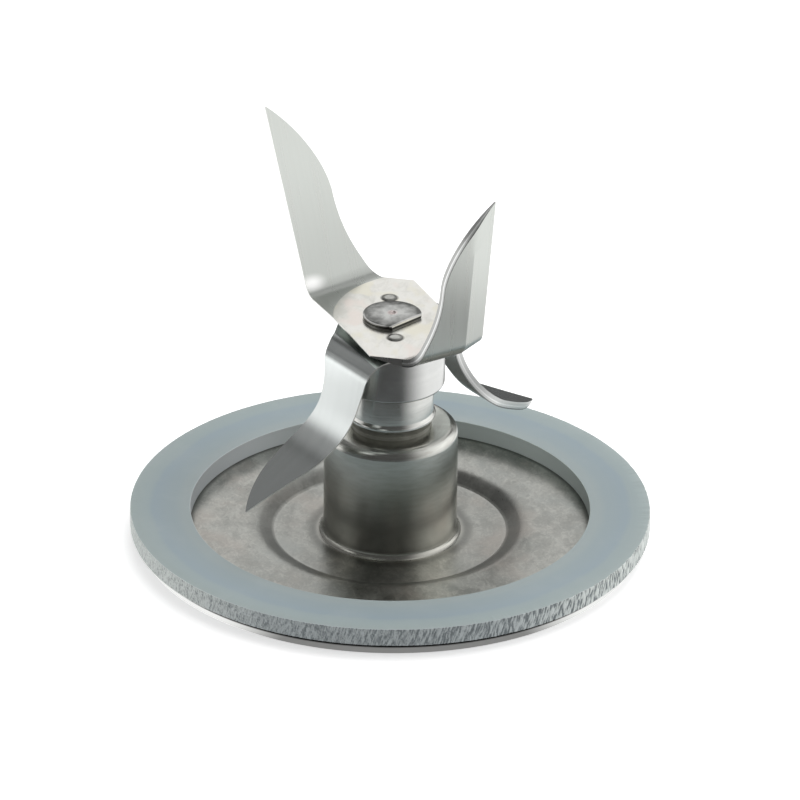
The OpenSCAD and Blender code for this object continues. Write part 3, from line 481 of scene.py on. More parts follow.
def makeShaftSteel(look):  # the head: a cap with painted shade towards its edge, a painted highlight on its lip, painted shade in the deep groove below it and a grey flange
    material, tree, shader = newMaterial("shaftSteel")
    vector = objectVector(tree)
    marks = placeGroup(tree, turned, (-1000, 0), {"Vector": vector, "Rings Per Metre": 2600.0})
    cloud = noise(tree, (-1000, -300), vector, 900.0, 4.0, 0.6)
    parts = addNode(tree, "ShaderNodeSeparateXYZ", (-1200, 300), {"Vector": vector})
    flat = vectorNode(tree, "MULTIPLY", (-1050, 300), vector, (1.0, 1.0, 0.0))
    radius = vectorNode(tree, "LENGTH", (-900, 300), flat)
    streaks = addNode(tree, "ShaderNodeCombineXYZ", (-1100, -600), {
        0: mathNode(tree, "ARCTAN2", (-1250, -600), parts.outputs[1], parts.outputs[0]),
        1: mathNode(tree, "MULTIPLY", (-1250, -750), radius, 300.0), 2: 0.0}).outputs[0]
    streaks = noise(tree, (-950, -600), streaks, 1.4, 3.0, 0.6)
    shade = mathNode(tree, "ADD", (-700, 200), smoothRange(tree, (-850, 150), radius, 0.0008, 0.0038), mathNode(
        tree, "MULTIPLY", (-850, 0), mathNode(tree, "SUBTRACT", (-950, 0), streaks, 0.5), 0.9))
    shade = mathNode(tree, "ADD", (-600, 100), shade, mathNode(
        tree, "MULTIPLY", (-850, -150), mathNode(tree, "SUBTRACT", (-950, -150), cloud, 0.48), 1.6), clamp=True)
    colour = mixColour(tree, (-500, 300), shade, look["light"], look["dark"])
    colour = mixColour(tree, (-350, 300), smoothRange(tree, (-500, 500), radius, 0.00075, 0.00035, 0.0, 0.6), colour,
                       look["rust"])
    towardFlat = vectorNode(tree, "DOT_PRODUCT", (-900, 600), flat, look["flatNormal"])
    atFlat = smoothRange(tree, (-700, 600), towardFlat, look["flat"] - 0.00030, look["flat"] - 0.0002)
    toLeft = smoothRange(tree, (-700, 800), vectorNode(tree, "DOT_PRODUCT", (-900, 800), flat, (-0.8, -0.6, 0.0)),
                         0.0022, 0.0029)
    atRim = mathNode(tree, "MULTIPLY", (-550, 800), toLeft, smoothRange(tree, (-700, 1000), radius, 0.00314, 0.00322))
    # painted highlight on the cap's lip
    lipHighlight = mathNode(tree, "MULTIPLY", (-400, 700), mathNode(tree, "MAXIMUM", (-500, 700), atFlat, atRim), 0.65)
    colour = mixColour(tree, (-200, 300), lipHighlight, colour, look["shine"])
    # painted shade in the groove under the cap
    low = smoothRange(tree, (-500, -200), parts.outputs[2], look["capFoot"] + 0.00012, look["capFoot"] + 0.00002)
    colour = mixColour(tree, (-50, 300), low, colour, look["deepShade"])
    foot = smoothRange(tree, (-500, -400), parts.outputs[2], look["capFoot"] - 0.0001, look["capFoot"] - 0.00014)
    colour = mixColour(tree, (100, 300), foot, colour, look["flange"])
    shadow = mathNode(tree, "MULTIPLY", (0, 600), foot, smoothRange(
        tree, (-100, 700), towardFlat, look["flat"] - 0.0004, look["flat"] - 0.0001, 0.0, 0.8))
    colour = mixColour(tree, (250, 300), shadow, colour, look["deepShade"])
    tree.links.new(colour, shader.inputs["Base Color"])
    shader.inputs["Roughness"].default_value = look["roughness"]
    shader.inputs["Metallic"].default_value = 1.0
    addBump(tree, shader, mathNode(tree, "ADD", (-200, -400), marks["Height"], cloud), 0.00004, 0.7)
    return material


pinLook = {"light": rgba(0.60, 0.60, 0.565), "dark": rgba(0.23, 0.23, 0.215), "roughness": 0.3}


def makePinSteel(look, places):
    material, tree, shader = newMaterial("pinSteel")
    vector = objectVector(tree)
    cloud = noise(tree, (-800, 0), vector, 1500.0, 3.0, 0.6)
    away = [vectorNode(tree, "DISTANCE", (-600, 300), vectorNode(
        tree, "MULTIPLY", (-800, 300), vector, (1.0, 1.0, 0.0)), (place[0] * mm, place[1] * mm, 0.0)) for place in places]
    near = mathNode(tree, "MINIMUM", (-400, 300), *away)
    shade = mathNode(tree, "ADD", (-200, 200), smoothRange(tree, (-300, 300), near, 0.00035, 0.0009), mathNode(
        tree, "MULTIPLY", (-400, 0), mathNode(tree, "SUBTRACT", (-500, 0), cloud, 0.42), 1.8))
    tree.links.new(mixColour(tree, (0, 200), shade, look["light"], look["dark"]), shader.inputs["Base Color"])
    shader.inputs["Roughness"].default_value = look["roughness"]
    shader.inputs["Metallic"].default_value = 1.0
    addBump(tree, shader, cloud, 0.00004, 0.7)
    return material


def makeDull(name, light, dark, roughness, grain, depth, metallic=0.0):
    material, tree, shader = newMaterial(name)
    vector = objectVector(tree)
    tone = placeGroup(tree, mottle, (-1000, 0), {
        "Vector": vector, "Cloud Size": 400.0, "Stain Size": grain, "Stain Amount": 0.5, "Speck Amount": 0.4})
    colour = mixColour(tree, (-400, 200), smoothRange(tree, (-600, 0), tone["Tone"], 0.3, 0.7), dark, light)
    tree.links.new(colour, shader.inputs["Base Color"])
    rough = mathNode(tree, "ADD", (-300, -200), roughness, mathNode(
        tree, "MULTIPLY", (-450, -300), mathNode(tree, "SUBTRACT", (-550, -400), tone["Tone"], 0.5), 0.2))
    tree.links.new(rough, shader.inputs["Roughness"])
    shader.inputs["Metallic"].default_value = metallic
    addBump(tree, shader, tone["Tone"], depth, 0.7)
    return material


useOn(makePlateSteel(plateLook), "base_plate")
gasketRubber = makeGasketRubber(gasketLook)
useOn(gasketRubber, "gasket")
useOn(makeTurnedSteel("neckSteel", rgba(0.785, 0.785, 0.755), rgba(0.64, 0.64, 0.61), 0.2, 0.000007), "slinger_cup")
useOn(makeTurnedSteel("collarSteel", rgba(0.74, 0.745, 0.73), rgba(0.66, 0.665, 0.65), 0.22, 0.000005), "collar")
useOn(makeShaftSteel(shaftLook), "shaft")
useOn(makePinSteel(pinLook, bladeLook["pins"]), "locating_pins")
useOn(makeTurnedSteel("housingSteel", rgba(0.56, 0.55, 0.53), rgba(0.46, 0.45, 0.43), 0.34), "bearing_housing")
useOn(makeTurnedSteel("springSteel", rgba(0.50, 0.51, 0.53), rgba(0.40, 0.41, 0.43), 0.30),
      "bearing_retainer", "upper_steel_washer", "lower_steel_washer", "wave_washer")
useOn(makeDull("oiledBronze", rgba(0.56, 0.38, 0.20), rgba(0.38, 0.25, 0.13), 0.42, 2600.0, 0.00003, 1.0),
      "lower_bushing", "upper_bushing")
useOn(makeDull("oiledFelt", rgba(0.62, 0.55, 0.40), rgba(0.42, 0.36, 0.25), 0.95, 3000.0, 0.0002), "oil_wick")
useOn(makeDull("sealRubber", rgba(0.21, 0.21, 0.18), rgba(0.155, 0.155, 0.13), 0.42, 1500.0, 0.00003), "lip_seal")
useOn(makeDull("washerPlastic", rgba(0.80, 0.78, 0.72), rgba(0.70, 0.68, 0.62), 0.45, 1200.0, 0.00002),
      "upper_thrust_washer", "lower_thrust_washer")
useOn(makeDull("sinteredSteel", rgba(0.36, 0.37, 0.38), rgba(0.22, 0.225, 0.23), 0.45, 2400.0, 0.00005, 1.0),
      "drive_coupling")
print("materials made")


# ---- folded blades ----

def turn(p, degrees):
    c, s = math.cos(math.radians(degrees)), math.sin(math.radians(degrees))
    return (p[0] * c - p[1] * s, p[0] * s + p[1] * c)


def cubic(points, steps):
    row = []
    for k in range(steps + 1):
        t = k / steps
        s = 1 - t
        w = (s ** 3, 3 * s * s * t, 3 * s * t * t, t ** 3)
        row.append((sum(a * p[0] for a, p in zip(w, points)), sum(a * p[1] for a, p in zip(w, points))))
    return row


def placeOnFolds(y, folds):  # way out, height and slope at the distance y along the flat blank
    at, slope, begin = Vector((0.0, 0.0)), 0.0, 0.0
    for distance, angle, radius in folds:
        reach = radius * math.tan(math.radians(abs(angle)) / 2)
        start = distance - reach
        ahead = Vector((math.cos(slope), math.sin(slope)))
        if y <= start:
            break
        corner = at + ahead * (start - begin)
        part = min(1.0, (y - start) / (2 * reach))
        way = 1 if angle > 0 else -1
        endSlope = slope + math.radians(angle) * part
        centre = corner + Vector((-math.sin(slope), math.cos(slope))) * radius * way
        here = centre + Vector((math.sin(endSlope), -math.cos(endSlope))) * radius * way
        at, slope, begin = here, endSlope, start + 2 * reach
        if part < 1:
            return here[0], here[1], endSlope
    rest = y - begin
    return at[0] + rest * math.cos(slope), at[1] + rest * math.sin(slope), slope


def sideAt(edge, y):
    for a, b in zip(edge, edge[1:]):
        if min(a[1], b[1]) <= y <= max(a[1], b[1]) and a[1] != b[1]:
            return a[0] + (b[0] - a[0]) * (y - a[1]) / (b[1] - a[1])
    return edge[0][0] if y < edge[0][1] else edge[-1][0]


def foldStart(fold):
    return fold[0] - fold[2] * math.tan(math.radians(abs(fold[1])) / 2)


def sectionPlaces(folds, tip, steps, spacing):  # where the rows of an arm lie along its flat blank
    rows = []
    for fold in folds:
        start = foldStart(fold)
        curve = 2 * (fold[0] - start)
        rows += [start + curve * k / steps for k in range(steps + 1)]
    gaps = []
    for a, b in zip(rows, rows[1:] + [tip]):
        count = int((b - a) / spacing)
        gaps += [a + (b - a) * k / count for k in range(1, count)] if count > 1 else []
    return sorted(rows + gaps + [tip])


def buildBlade(name, make):
    thick, edgeThick, bevel = make["thickness"], make["edge"], make["bevel"]
    straight, curved = make["straight"], make["curved"]
    mesh = bmesh.new()
    blankLayer = mesh.loops.layers.uv.new("blank")
    borderLayer = mesh.loops.layers.uv.new("border")
    roundLayer = mesh.edges.layers.float.new("bevel_weight_edge")
    tops, unders, blanks, borders = [], {}, {}, {}

    def addPoint(side, skew, q, form, w):
        out, high, slope = form
        ax, ay = turn((q[0], out), skew)
        nx, ny = turn((0, -math.sin(slope)), skew)
        depth = edgeThick + (thick - edgeThick) * min(1.0, w / bevel)
        place, normal = Vector((side * ax, side * ay, high)), Vector((side * nx, side * ny, math.cos(slope)))
        v = mesh.verts.new(place)
        unders[v] = mesh.verts.new(place - normal * depth)
        bx, by = turn(q, skew)
        blanks[v] = blanks[unders[v]] = (side * bx, side * by)
        return v

    def flatPoint(x, y, w=9.0):
        v = addPoint(1, 0.0, (x, y), (y, 0.0, 0.0), w)
        return v

    loops, aprons = [], []
    for side, skew, folds in make["arms"]:
        near = [turn(p, -skew) for p in straight]
        far = [turn(p, -skew) for p in curved]
        rows = []
        tip = turn(straight[-1], -skew)[1] - 0.12
        for y in sectionPlaces(folds, tip, make["bendSteps"], 0.8):
            x0, x1 = sideAt(near, y), sideAt(far, y)
            ahead = sideAt(near, min(y + 0.4, tip)) - sideAt(near, min(y + 0.4, tip) - 0.8)
            lean = 1 / math.hypot(1.0, ahead / 0.8)
            inner = min(x0 + bevel / lean, x0 + 0.62 * (x1 - x0))
            xs = [x0, (x0 + inner) / 2, inner] + [inner + (x1 - inner) * k / 6 for k in range(1, 7)]
            form = placeOnFolds(y, folds)
            rows.append([addPoint(side, skew, (x, y), form, (x - x0) * lean) for x in xs])
            borders[rows[-1][-1]] = borders[unders[rows[-1][-1]]] = 1.0
        for row, after in zip(rows, rows[1:]):
            for i in range(len(row) - 1):
                tops.append(mesh.faces.new((row[i], row[i + 1], after[i + 1], after[i])))
        corners = [flatPoint(side * x, side * y, w) for x, y, w in make["corners"]]
        aprons.append(corners + rows[0][:3])
        root = [flatPoint(side * x, side * y) for x, y in make["root"]]
        loops += [corners[0]] + rows[0][2:] + root
        for row, after in zip(rows, rows[1:]):
            for i, weight in ((0, 0.35), (-1, 1.0)):
                mesh.edges.get((row[i], after[i]))[roundLayer] = weight
    for apron in aprons:
        tops.append(mesh.faces.new(apron))
    holes = [[], [], []]
    for k in range(72):
        a = 2 * math.pi * k / 72
        reach = make["shaftHole"][0]
        facing = math.cos(a - math.radians(make["shaftHole"][2]))
        reach = min(reach, make["shaftHole"][1] / facing) if facing > 0.1 else reach
        holes[0].append(flatPoint(reach * math.cos(a), reach * math.sin(a)))
    for i, side in ((1, 1), (2, -1)):
        for k in range(36):
            a = 2 * math.pi * k / 36
            holes[i].append(flatPoint(side * make["pinPlace"][0] + make["pinHole"] * math.cos(a),
                                      side * make["pinPlace"][1] + make["pinHole"] * math.sin(a)))
    rim = []
    for loop in [loops] + holes:
        for i, v in enumerate(loop):
            other = loop[(i + 1) % len(loop)]
            edge = mesh.edges.get((v, other)) or mesh.edges.new((v, other))
            rim.append(edge)
    filled = bmesh.ops.triangle_fill(mesh, use_beauty=True, use_dissolve=False, edges=rim)
    tops += [g for g in filled["geom"] if isinstance(g, bmesh.types.BMFace)]
    for face in tops:
        face.normal_update()
    bmesh.ops.recalc_face_normals(mesh, faces=tops)
    if sum(f.normal.z * f.calc_area() for f in tops) < 0:
        bmesh.ops.reverse_faces(mesh, faces=tops)
    border = [loop for face in tops for loop in face.loops if len(loop.edge.link_faces) == 1]
    walls = [(loop.link_loop_next.vert, loop.vert) for loop in border]
    for face in tops:
        mesh.faces.new([unders[v] for v in reversed([loop.vert for loop in face.loops])])
    wallFaces = []
    for a, b in walls:
        wallFaces.append(mesh.faces.new((a, b, unders[b], unders[a])))
        top, low = mesh.edges.get((a, b)), mesh.edges.get((unders[a], unders[b]))
        if top[roundLayer] == 0:
            top[roundLayer] = 0.5
        low[roundLayer] = min(0.5, top[roundLayer])
    for face in mesh.faces:
        face.smooth = True
        for loop in face.loops:
            x, y = blanks[loop.vert]
            loop[blankLayer].uv = (x * mm, y * mm)
            loop[borderLayer].uv = (borders.get(loop.vert, 0.0), 0.0)
    low = set(unders.values())
    for face in wallFaces:
        kind = 2.0 if all(loop.vert in borders for loop in face.loops) else 3.0
        for loop in face.loops:
            loop[borderLayer].uv = (kind, 1.0 if loop.vert in low else 0.0)
    spin = Matrix.Rotation(math.radians(make["azimuth"] - 90), 4, "Z")
    bmesh.ops.transform(mesh, matrix=Matrix.Scale(mm, 4) @ Matrix.Translation((0, 0, make["top"])) @ spin,
                        verts=mesh.verts[:])
    data = bpy.data.meshes.new(name)
    mesh.to_mesh(data)
    mesh.free()
    data.set_sharp_from_angle(angle=math.radians(15))
    blade = bpy.data.objects.new(name, data)
    bpy.context.scene.collection.objects.link(blade)
    rounding = blade.modifiers.new("roundedEdges", "BEVEL")
    rounding.width = make["rounding"] * mm
    rounding.segments = 3
    rounding.limit_method = "WEIGHT"
    rounding.harden_normals = True
    return blade


def drawn(points, width, fold, reach):  # edge points as shares of the width and of the way from fold to tip
    return [(x * width, fold + y * (reach - fold)) for x, y in points]


upperTip = (-7.38, 31.9)
upperForm = drawn([(0.542, -0.0162), (0.304, 0.134), (-0.072, 0.241), (-0.096, 0.518), (-0.12, 0.648),
                   (-0.48, 0.856)], 6.25, 10.3, 31.9)
upperBlade = {
    "thickness": 0.95, "edge": 0.15, "bevel": 2.8, "azimuth": 115, "top": 27.9, "rounding": 0.14, "bendSteps": 24,
    "shaftHole": (2.52, 2.02, -46 - 25), "pinHole": 0.92, "pinPlace": turn((5.1, 0), 94 - 25),
    "corners": [(-3.55, -9.832, 9.0), (-6.35, -7.797, 0.0), (-6.15, 2.997, 0.0)],
    "straight": [(-6.35, -7.797), (-6.15, 2.997), upperTip], "root": upperForm[:1],
    "curved": cubic(upperForm[:4], 24) + cubic(upperForm[3:] + [upperTip], 28)[1:],
    "arms": [(1, 12.9, [(10.3, 51.6, 2.6)]), (-1, 8.0, [(10.92, 75.0, 2.2)])]}

lowerTip = (-1.762, 32.17)
lowerForm = drawn([(-0.937, 0.061), (-0.823, 0.272), (-0.38, 0.65), (0.371, -0.1187), (0.215, -0.047),
                   (0.076, 0.0244), (0.044, 0.099), (-0.11, 0.272), (0.297, 0.44), (0.31, 0.613), (0.31, 0.756),
                   (0.076, 0.907)], 7.9, 8.42, 32.17)
lowerFolds = [(7.4, -34.0, 2.9), (9.549, -48.0, 2.1), (19.42, 55.4, 9.4)]
lowerBlade = {
    "thickness": 0.95, "edge": 0.15, "bevel": 2.8, "azimuth": 217, "top": 26.95, "rounding": 0.14, "bendSteps": 28,
    "shaftHole": (2.52, 2.02, -46 - 127), "pinHole": 0.72, "pinPlace": turn((5.1, 0), 94 - 127),
    "corners": [(-6.596, -2.0, 9.0)], "root": [],
    "straight": [(-7.402, 0.0)] + cubic(lowerForm[:3] + [lowerTip], 28),
    "curved": [(1.999, 0.0)] + cubic(lowerForm[3:7], 10) + cubic(lowerForm[6:10], 16)[1:]
    + cubic(lowerForm[9:] + [lowerTip], 24)[1:],
    "arms": [(1, 0.0, lowerFolds), (-1, 0.0, lowerFolds)]}

upper = buildBlade("upperBladeSheet", upperBlade)
lower = buildBlade("lowerBladeSheet", lowerBlade)
upper.data.materials.append(makeBladeSteel("upperBladeSteel", bladeLook["upper"], bladeLook))
lower.data.materials.append(makeBladeSteel("lowerBladeSteel", bladeLook["lower"]))
for piece, node, steel in ((upper, "upper_blade", "upper_blade_steel"), (lower, "lower_blade", "lower_blade_steel")):
    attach(piece, "rotor")
    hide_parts(node)
print("blades folded")


# ---- gasket with its die-cut outer wall ----

gasketShape = {
    "inner": 23.05, "outer": 30.0, "foot": 1.5, "top": 3.6, "break": 0.045, "columns": 3600, "rows": 14,
    # how the wall was torn, by the turn in degrees from the back over the left: shares of wide ridges,
    # fine strokes and grain, the middle depth as a share, the depth in mm
    "wall": [(0, 0.0, 0.2, 0.4, 0.34, 0.04), (80, 0.0, 0.1, 0.4, 0.26, 0.04), (120, 0.0, 0.2, 0.4, 0.36, 0.045),
             (150, 0.0, 0.3, 0.3, 0.47, 0.05), (180, 0.0, 0.4, 0.25, 0.56, 0.05), (200, 0.25, 0.55, 0.2, 0.56, 0.06),
             (218, 1.0, 0.5, 0.2, 0.46, 0.10), (255, 1.0, 0.5, 0.2, 0.38, 0.10), (285, 0.3, 0.3, 0.4, 0.30, 0.05),
             (360, 0.0, 0.2, 0.4, 0.34, 0.04)]}


def alongWall(table, degrees):
    for low, high in zip(table, table[1:]):
        if degrees <= high[0]:
            t = (degrees - low[0]) / (high[0] - low[0])
            return [a + (b - a) * t for a, b in zip(low[1:], high[1:])]
    return table[-1][1:]


def cutDepthAt(make, angle, height):
    wide, fine, rough, middle, depth = alongWall(make["wall"], math.degrees(angle))
    around = angle * make["outer"]
    u = around - 0.3 * height + 0.2 * perlin(Vector((around * 0.9, height * 0.9, 1.3)))
    ridges = perlin(Vector((u * 4.2, height * 0.95, 3.1))) if wide else 0.0
    strokes = perlin(Vector((u * 6.6, height * 1.2, 5.7)))
    grain = perlin(Vector((around * 7.2, height * 5.6, 2.2)))
    share = middle + 1.5 * (wide * ridges + fine * strokes + rough * grain)
    return max(0.0, min(1.0, share)), depth


def buildGasket(name, make):
    mesh = bmesh.new()
    depthLayer = mesh.verts.layers.float.new("cutDepth")
    inner, outer, foot, top, edge = (make[k] for k in ("inner", "outer", "foot", "top", "break"))
    wall = [foot + edge + (top - foot - 2 * edge) * k / (make["rows"] - 1) for k in range(make["rows"])]
    rings = []
    for k in range(make["columns"]):
        angle = 2 * math.pi * k / make["columns"]
        c, s = -math.sin(angle), math.cos(angle)
        profile = [(inner, top - edge, 0), (inner + edge, top, 0), (24.2, top, 0), (28.4, top, 0)]
        nick = cutDepthAt(make, angle, top)[0]
        profile += [(outer - edge - 0.10 * nick, top, 0.0)]
        for z in reversed(wall):
            share, depth = cutDepthAt(make, angle, z)
            profile.append((outer - depth * share, z, 0.02 + 0.98 * share))
        profile += [(outer - edge - 0.12 * nick, foot, 0.5), (inner + edge, foot, 0), (inner, foot + edge, 0)]
        ring = []
        for r, z, share in profile:
            v = mesh.verts.new((r * c * mm, r * s * mm, z * mm))
            v[depthLayer] = share
            ring.append(v)
        rings.append(ring)
    for k, ring in enumerate(rings):
        after = rings[(k + 1) % len(rings)]
        for i in range(len(ring)):
            j = (i + 1) % len(ring)
            mesh.faces.new((ring[i], ring[j], after[j], after[i])).smooth = True
    bmesh.ops.recalc_face_normals(mesh, faces=mesh.faces[:])
    data = bpy.data.meshes.new(name)
    mesh.to_mesh(data)
    mesh.free()
    data.set_sharp_from_angle(angle=math.radians(40))
    piece = bpy.data.objects.new(name, data)
    bpy.context.scene.collection.objects.link(piece)
    return piece


gasketRing = buildGasket("gasketRing", gasketShape)
gasketRing.data.materials.append(gasketRubber)
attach(gasketRing, "base")
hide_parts("gasket")
print("gasket cut")


# ---- studio ----

studio = {
    "floorRadius": 1.6, "floorTone": 0.8, "floorGlow": 0.5, "keyPower": 2.0, "sidePower": 1.1,
    "leftPower": 0.9, "around": 0.09, "fill": 0.3,
    # soft boxes round the object: azimuth from the back to the right and elevation, both as
    # (from, its soft rim, to, its soft rim) in degrees, and the strength
    "boxes": [("back", (-21, 5, 25, 6), (19, 4, 34.5, 4.5), 1.12),
              ("backHigh", (-11, 6, 34, 10), (33, 5, 62, 8), 0.6),
              ("backLow", (-26, 6, 34, 6), (-40, 5, 22, 5), 0.30),
              ("backTop", (-24, 8, 36, 8), (66, 4, 88, 4), 1.5),
              ("leftBack", (-66, 8, -26, 5), (-20, 10, 78, 10), 0.23),
              ("right", (39, 7, 130, 32), (-60, 10, 44, 6), 1.1),
              ("rightHigh", (36, 22, 126, 30), (40, 6, 60, 14), 1.05),
              ("rightLow", (46, 9, 106, 14), (-14, 8, 40, 8), 1.35),
              ("rightTop", (40, 12, 104, 24), (52, 8, 78, 8), 0.9),
              ("left", (-112, 12, -50, 12), (-60, 10, 14, 10), 1.25),
              ("leftMid", (-95, 12, -60, 8), (17, 8, 36, 8), 0.34),
              ("leftTop", (-118, 8, -86, 8), (31, 5, 50, 8), 1.0)],
    # the pale floor in reflections: azimuth sectors in the same way, and their strengths
    "sectors": [((29, 7, 134, 38), 1.1), ((-94, 11, -34, 9), 1.25)], "floorDark": 0.08,
    # nearness to the object: radii and share of the floor under steep views, a painted shadow in the floor's reflected
    # glow, and the level at the rim's foot, a painted pool of light there
    "nearFloor": (0.039, 0.047, 0.22), "rimFoot": (0.0365, 0.0335), "rimLevel": 0.3,
    "rimSectors": [((-150, 14, -50, 10), 1.2), ((50, 10, 142, 14), 1.2)]}


def angleBand(tree, place, value, limits):
    begin, beginRim, end, endRim = limits
    low = smoothRange(tree, place, value, begin - beginRim, begin + beginRim)
    high = smoothRange(tree, (place[0], place[1] - 160), value, end + endRim, end - endRim)
    return mathNode(tree, "MULTIPLY", (place[0] + 200, place[1]), low, high)


def azimuthOf(tree, vector, place):
    parts = addNode(tree, "ShaderNodeSeparateXYZ", place, {"Vector": vector})
    turnAngle = mathNode(tree, "ARCTAN2", (place[0] + 200, place[1]), parts.outputs[0], parts.outputs[1])
    return mathNode(tree, "DEGREES", (place[0] + 400, place[1]), turnAngle), parts.outputs[2]


def makeFloor(look):
    mesh = bmesh.new()
    bmesh.ops.create_circle(mesh, cap_ends=True, segments=96, radius=look["floorRadius"])
    data = bpy.data.meshes.new("studioFloor")
    mesh.to_mesh(data)
    mesh.free()
    floor = bpy.data.objects.new("studioFloor", data)
    bpy.context.scene.collection.objects.link(floor)
    material = bpy.data.materials.new("paleFloor")
    material.use_nodes = True
    tree = material.node_tree
    tree.nodes.clear()
    out = addNode(tree, "ShaderNodeOutputMaterial", (900, 0))
    tone = look["floorTone"]
    paint = addNode(tree, "ShaderNodeBsdfDiffuse", (0, 200), {"Color": rgba(tone, tone, tone)})
    path = addNode(tree, "ShaderNodeLightPath", (-600, 500))
    seen = mathNode(tree, "MULTIPLY", (-300, 400), path.outputs["Is Camera Ray"], look["floorGlow"])
    glow = addNode(tree, "ShaderNodeEmission", (0, 0), {"Color": rgba(1, 1, 1), "Strength": seen})
    shown = addNode(tree, "ShaderNodeAddShader", (200, 100), {0: paint.outputs[0], 1: glow.outputs[0]})
    vector = addNode(tree, "ShaderNodeTexCoord", (-1600, -300)).outputs["Object"]
    azimuth = azimuthOf(tree, vector, (-1400, -300))[0]
    level = look["floorDark"]
    for i, (limits, strength) in enumerate(look["sectors"]):
        band = angleBand(tree, (-800, -300 - 400 * i), azimuth, limits)
        level = mathNode(tree, "MAXIMUM", (-300, -300 - 400 * i), level, mathNode(
            tree, "MULTIPLY", (-450, -300 - 400 * i), band, strength))
    # painted shadow: under steep views the floor's reflected glow is dimmed near the object
    facing = addNode(tree, "ShaderNodeLayerWeight", (-600, 200), {"Blend": 0.5}).outputs["Facing"]
    away = vectorNode(tree, "LENGTH", (-800, 200), vector)
    steep = smoothRange(tree, (-350, 100), facing, 0.36, 0.26)
    near = smoothRange(tree, (-600, 50), away, look["nearFloor"][0], look["nearFloor"][1], look["nearFloor"][2], 1.0)
    level = mathNode(tree, "MULTIPLY", (-150, 100), level, addNode(
        tree, "ShaderNodeMix", (-250, 0), {0: steep, 2: 1.0, 3: near}, data_type="FLOAT").outputs[0])
    # painted light: round the rim's foot the floor's reflected glow is raised
    rimLevel = look["rimLevel"]
    for i, (limits, strength) in enumerate(look["rimSectors"]):
        band = angleBand(tree, (-800, -1300 - 400 * i), azimuth, limits)
        rimLevel = mathNode(tree, "MAXIMUM", (-300, -1300 - 400 * i), rimLevel, mathNode(
            tree, "MULTIPLY", (-450, -1300 - 400 * i), band, strength))
    atRim = smoothRange(tree, (-350, -100), away, look["rimFoot"][0], look["rimFoot"][1])
    level = addNode(tree, "ShaderNodeMix", (0, 100), {0: atRim, 2: level, 3: rimLevel}, data_type="FLOAT").outputs[0]
    mirror = addNode(tree, "ShaderNodeEmission", (0, -300), {"Color": rgba(1, 1, 1), "Strength": level})
    glossy = mathNode(tree, "MAXIMUM", (200, 400), path.outputs["Is Glossy Ray"], path.outputs["Is Transmission Ray"])
    final = addNode(tree, "ShaderNodeMixShader", (600, 0), {0: glossy, 1: shown.outputs[0], 2: mirror.outputs[0]})
    tree.links.new(final.outputs[0], out.inputs[0])
    data.materials.append(material)


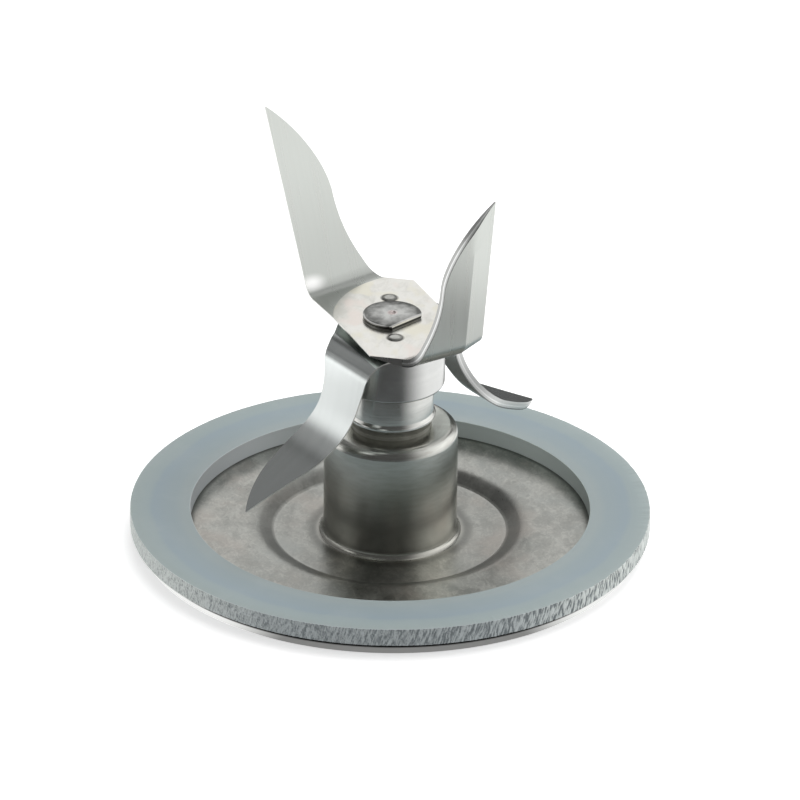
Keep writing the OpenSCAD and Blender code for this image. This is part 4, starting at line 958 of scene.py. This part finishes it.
def makeWorld(look):
    world = bpy.data.worlds.new("studioWorld")
    bpy.context.scene.world = world
    world.use_nodes = True
    tree = world.node_tree
    tree.nodes.clear()
    out = addNode(tree, "ShaderNodeOutputWorld", (900, 0))
    vector = addNode(tree, "ShaderNodeTexCoord", (-2000, 0)).outputs["Generated"]
    azimuth, height = azimuthOf(tree, vector, (-1800, 0))
    elevation = mathNode(tree, "DEGREES", (-1200, -200), mathNode(tree, "ARCSINE", (-1400, -200), height))
    level = look["around"]
    for i, (label, azLimits, elLimits, strength) in enumerate(look["boxes"]):
        across = angleBand(tree, (-1000, 400 - 500 * i), azimuth, azLimits)
        upright = angleBand(tree, (-1000, 80 - 500 * i), elevation, elLimits)
        box = mathNode(tree, "MULTIPLY", (-400, 400 - 500 * i), across, upright)
        level = mathNode(tree, "MAXIMUM", (0, 400 - 500 * i), level, mathNode(
            tree, "MULTIPLY", (-200, 400 - 500 * i), box, strength))
    path = addNode(tree, "ShaderNodeLightPath", (0, 700))
    fill = mathNode(tree, "MULTIPLY", (200, 500), path.outputs["Is Diffuse Ray"], look["fill"])
    level = mathNode(tree, "ADD", (250, 200), level, fill)
    around = addNode(tree, "ShaderNodeBackground", (400, 0), {"Color": rgba(1, 1, 1), "Strength": level})
    white = addNode(tree, "ShaderNodeBackground", (400, 200), {"Color": rgba(1, 1, 1), "Strength": 1.0})
    final = addNode(tree, "ShaderNodeMixShader", (700, 0), {
        0: path.outputs["Is Camera Ray"], 1: around.outputs[0], 2: white.outputs[0]})
    tree.links.new(final.outputs[0], out.inputs[0])


def addLamp(name, place, aim, size, power):
    lamp = bpy.data.lights.new(name, "AREA")
    lamp.shape = "RECTANGLE"
    lamp.size, lamp.size_y = size
    lamp.energy = power
    holder = bpy.data.objects.new(name, lamp)
    holder.location = place
    holder.rotation_mode = "QUATERNION"
    holder.rotation_quaternion = (Vector(aim) - Vector(place)).to_track_quat("-Z", "Y")
    holder.visible_glossy = False  # the world's soft boxes are what the steel mirrors
    bpy.context.scene.collection.objects.link(holder)


def addCamera():
    view = {"place": (0.0, -0.990458, 0.522844), "pitch": 0.4719, "yaw": 0.001, "roll": 0.0114, "pixels": 9694.17}
    cam = bpy.data.cameras.new("photoCamera")
    cam.sensor_fit = "HORIZONTAL"
    cam.sensor_width = 36.0
    cam.lens = view["pixels"] * 36.0 / 800
    cam.clip_start, cam.clip_end = 0.05, 20
    holder = bpy.data.objects.new("photoCamera", cam)
    bpy.context.scene.collection.objects.link(holder)
    cp, sp = math.cos(view["pitch"]), math.sin(view["pitch"])
    cy, sy = math.cos(view["yaw"]), math.sin(view["yaw"])
    ahead = Vector((sy * cp, cy * cp, -sp))
    right = Vector((cy, -sy, 0))
    up = right.cross(ahead)
    cr, sr = math.cos(view["roll"]), math.sin(view["roll"])
    across, upright = right * cr + up * sr, up * cr - right * sr
    turnMatrix = Matrix((across, upright, -ahead)).transposed()
    holder.matrix_world = Matrix.Translation(view["place"]) @ turnMatrix.to_4x4()
    bpy.context.scene.camera = holder


makeFloor(studio)
makeWorld(studio)
addLamp("keySoftbox", (0.15, 0.25, 0.75), (0, 0, 0.01), (0.6, 0.6), studio["keyPower"])
addLamp("rightSoftbox", (0.75, -0.1, 0.2), (0, 0, 0.01), (0.5, 0.25), studio["sidePower"])
addLamp("leftSoftbox", (-0.7, -0.1, 0.14), (0, 0, 0.01), (0.5, 0.2), studio["leftPower"])
addCamera()
bpy.context.scene.view_settings.view_transform = "Standard"
print("studio set")
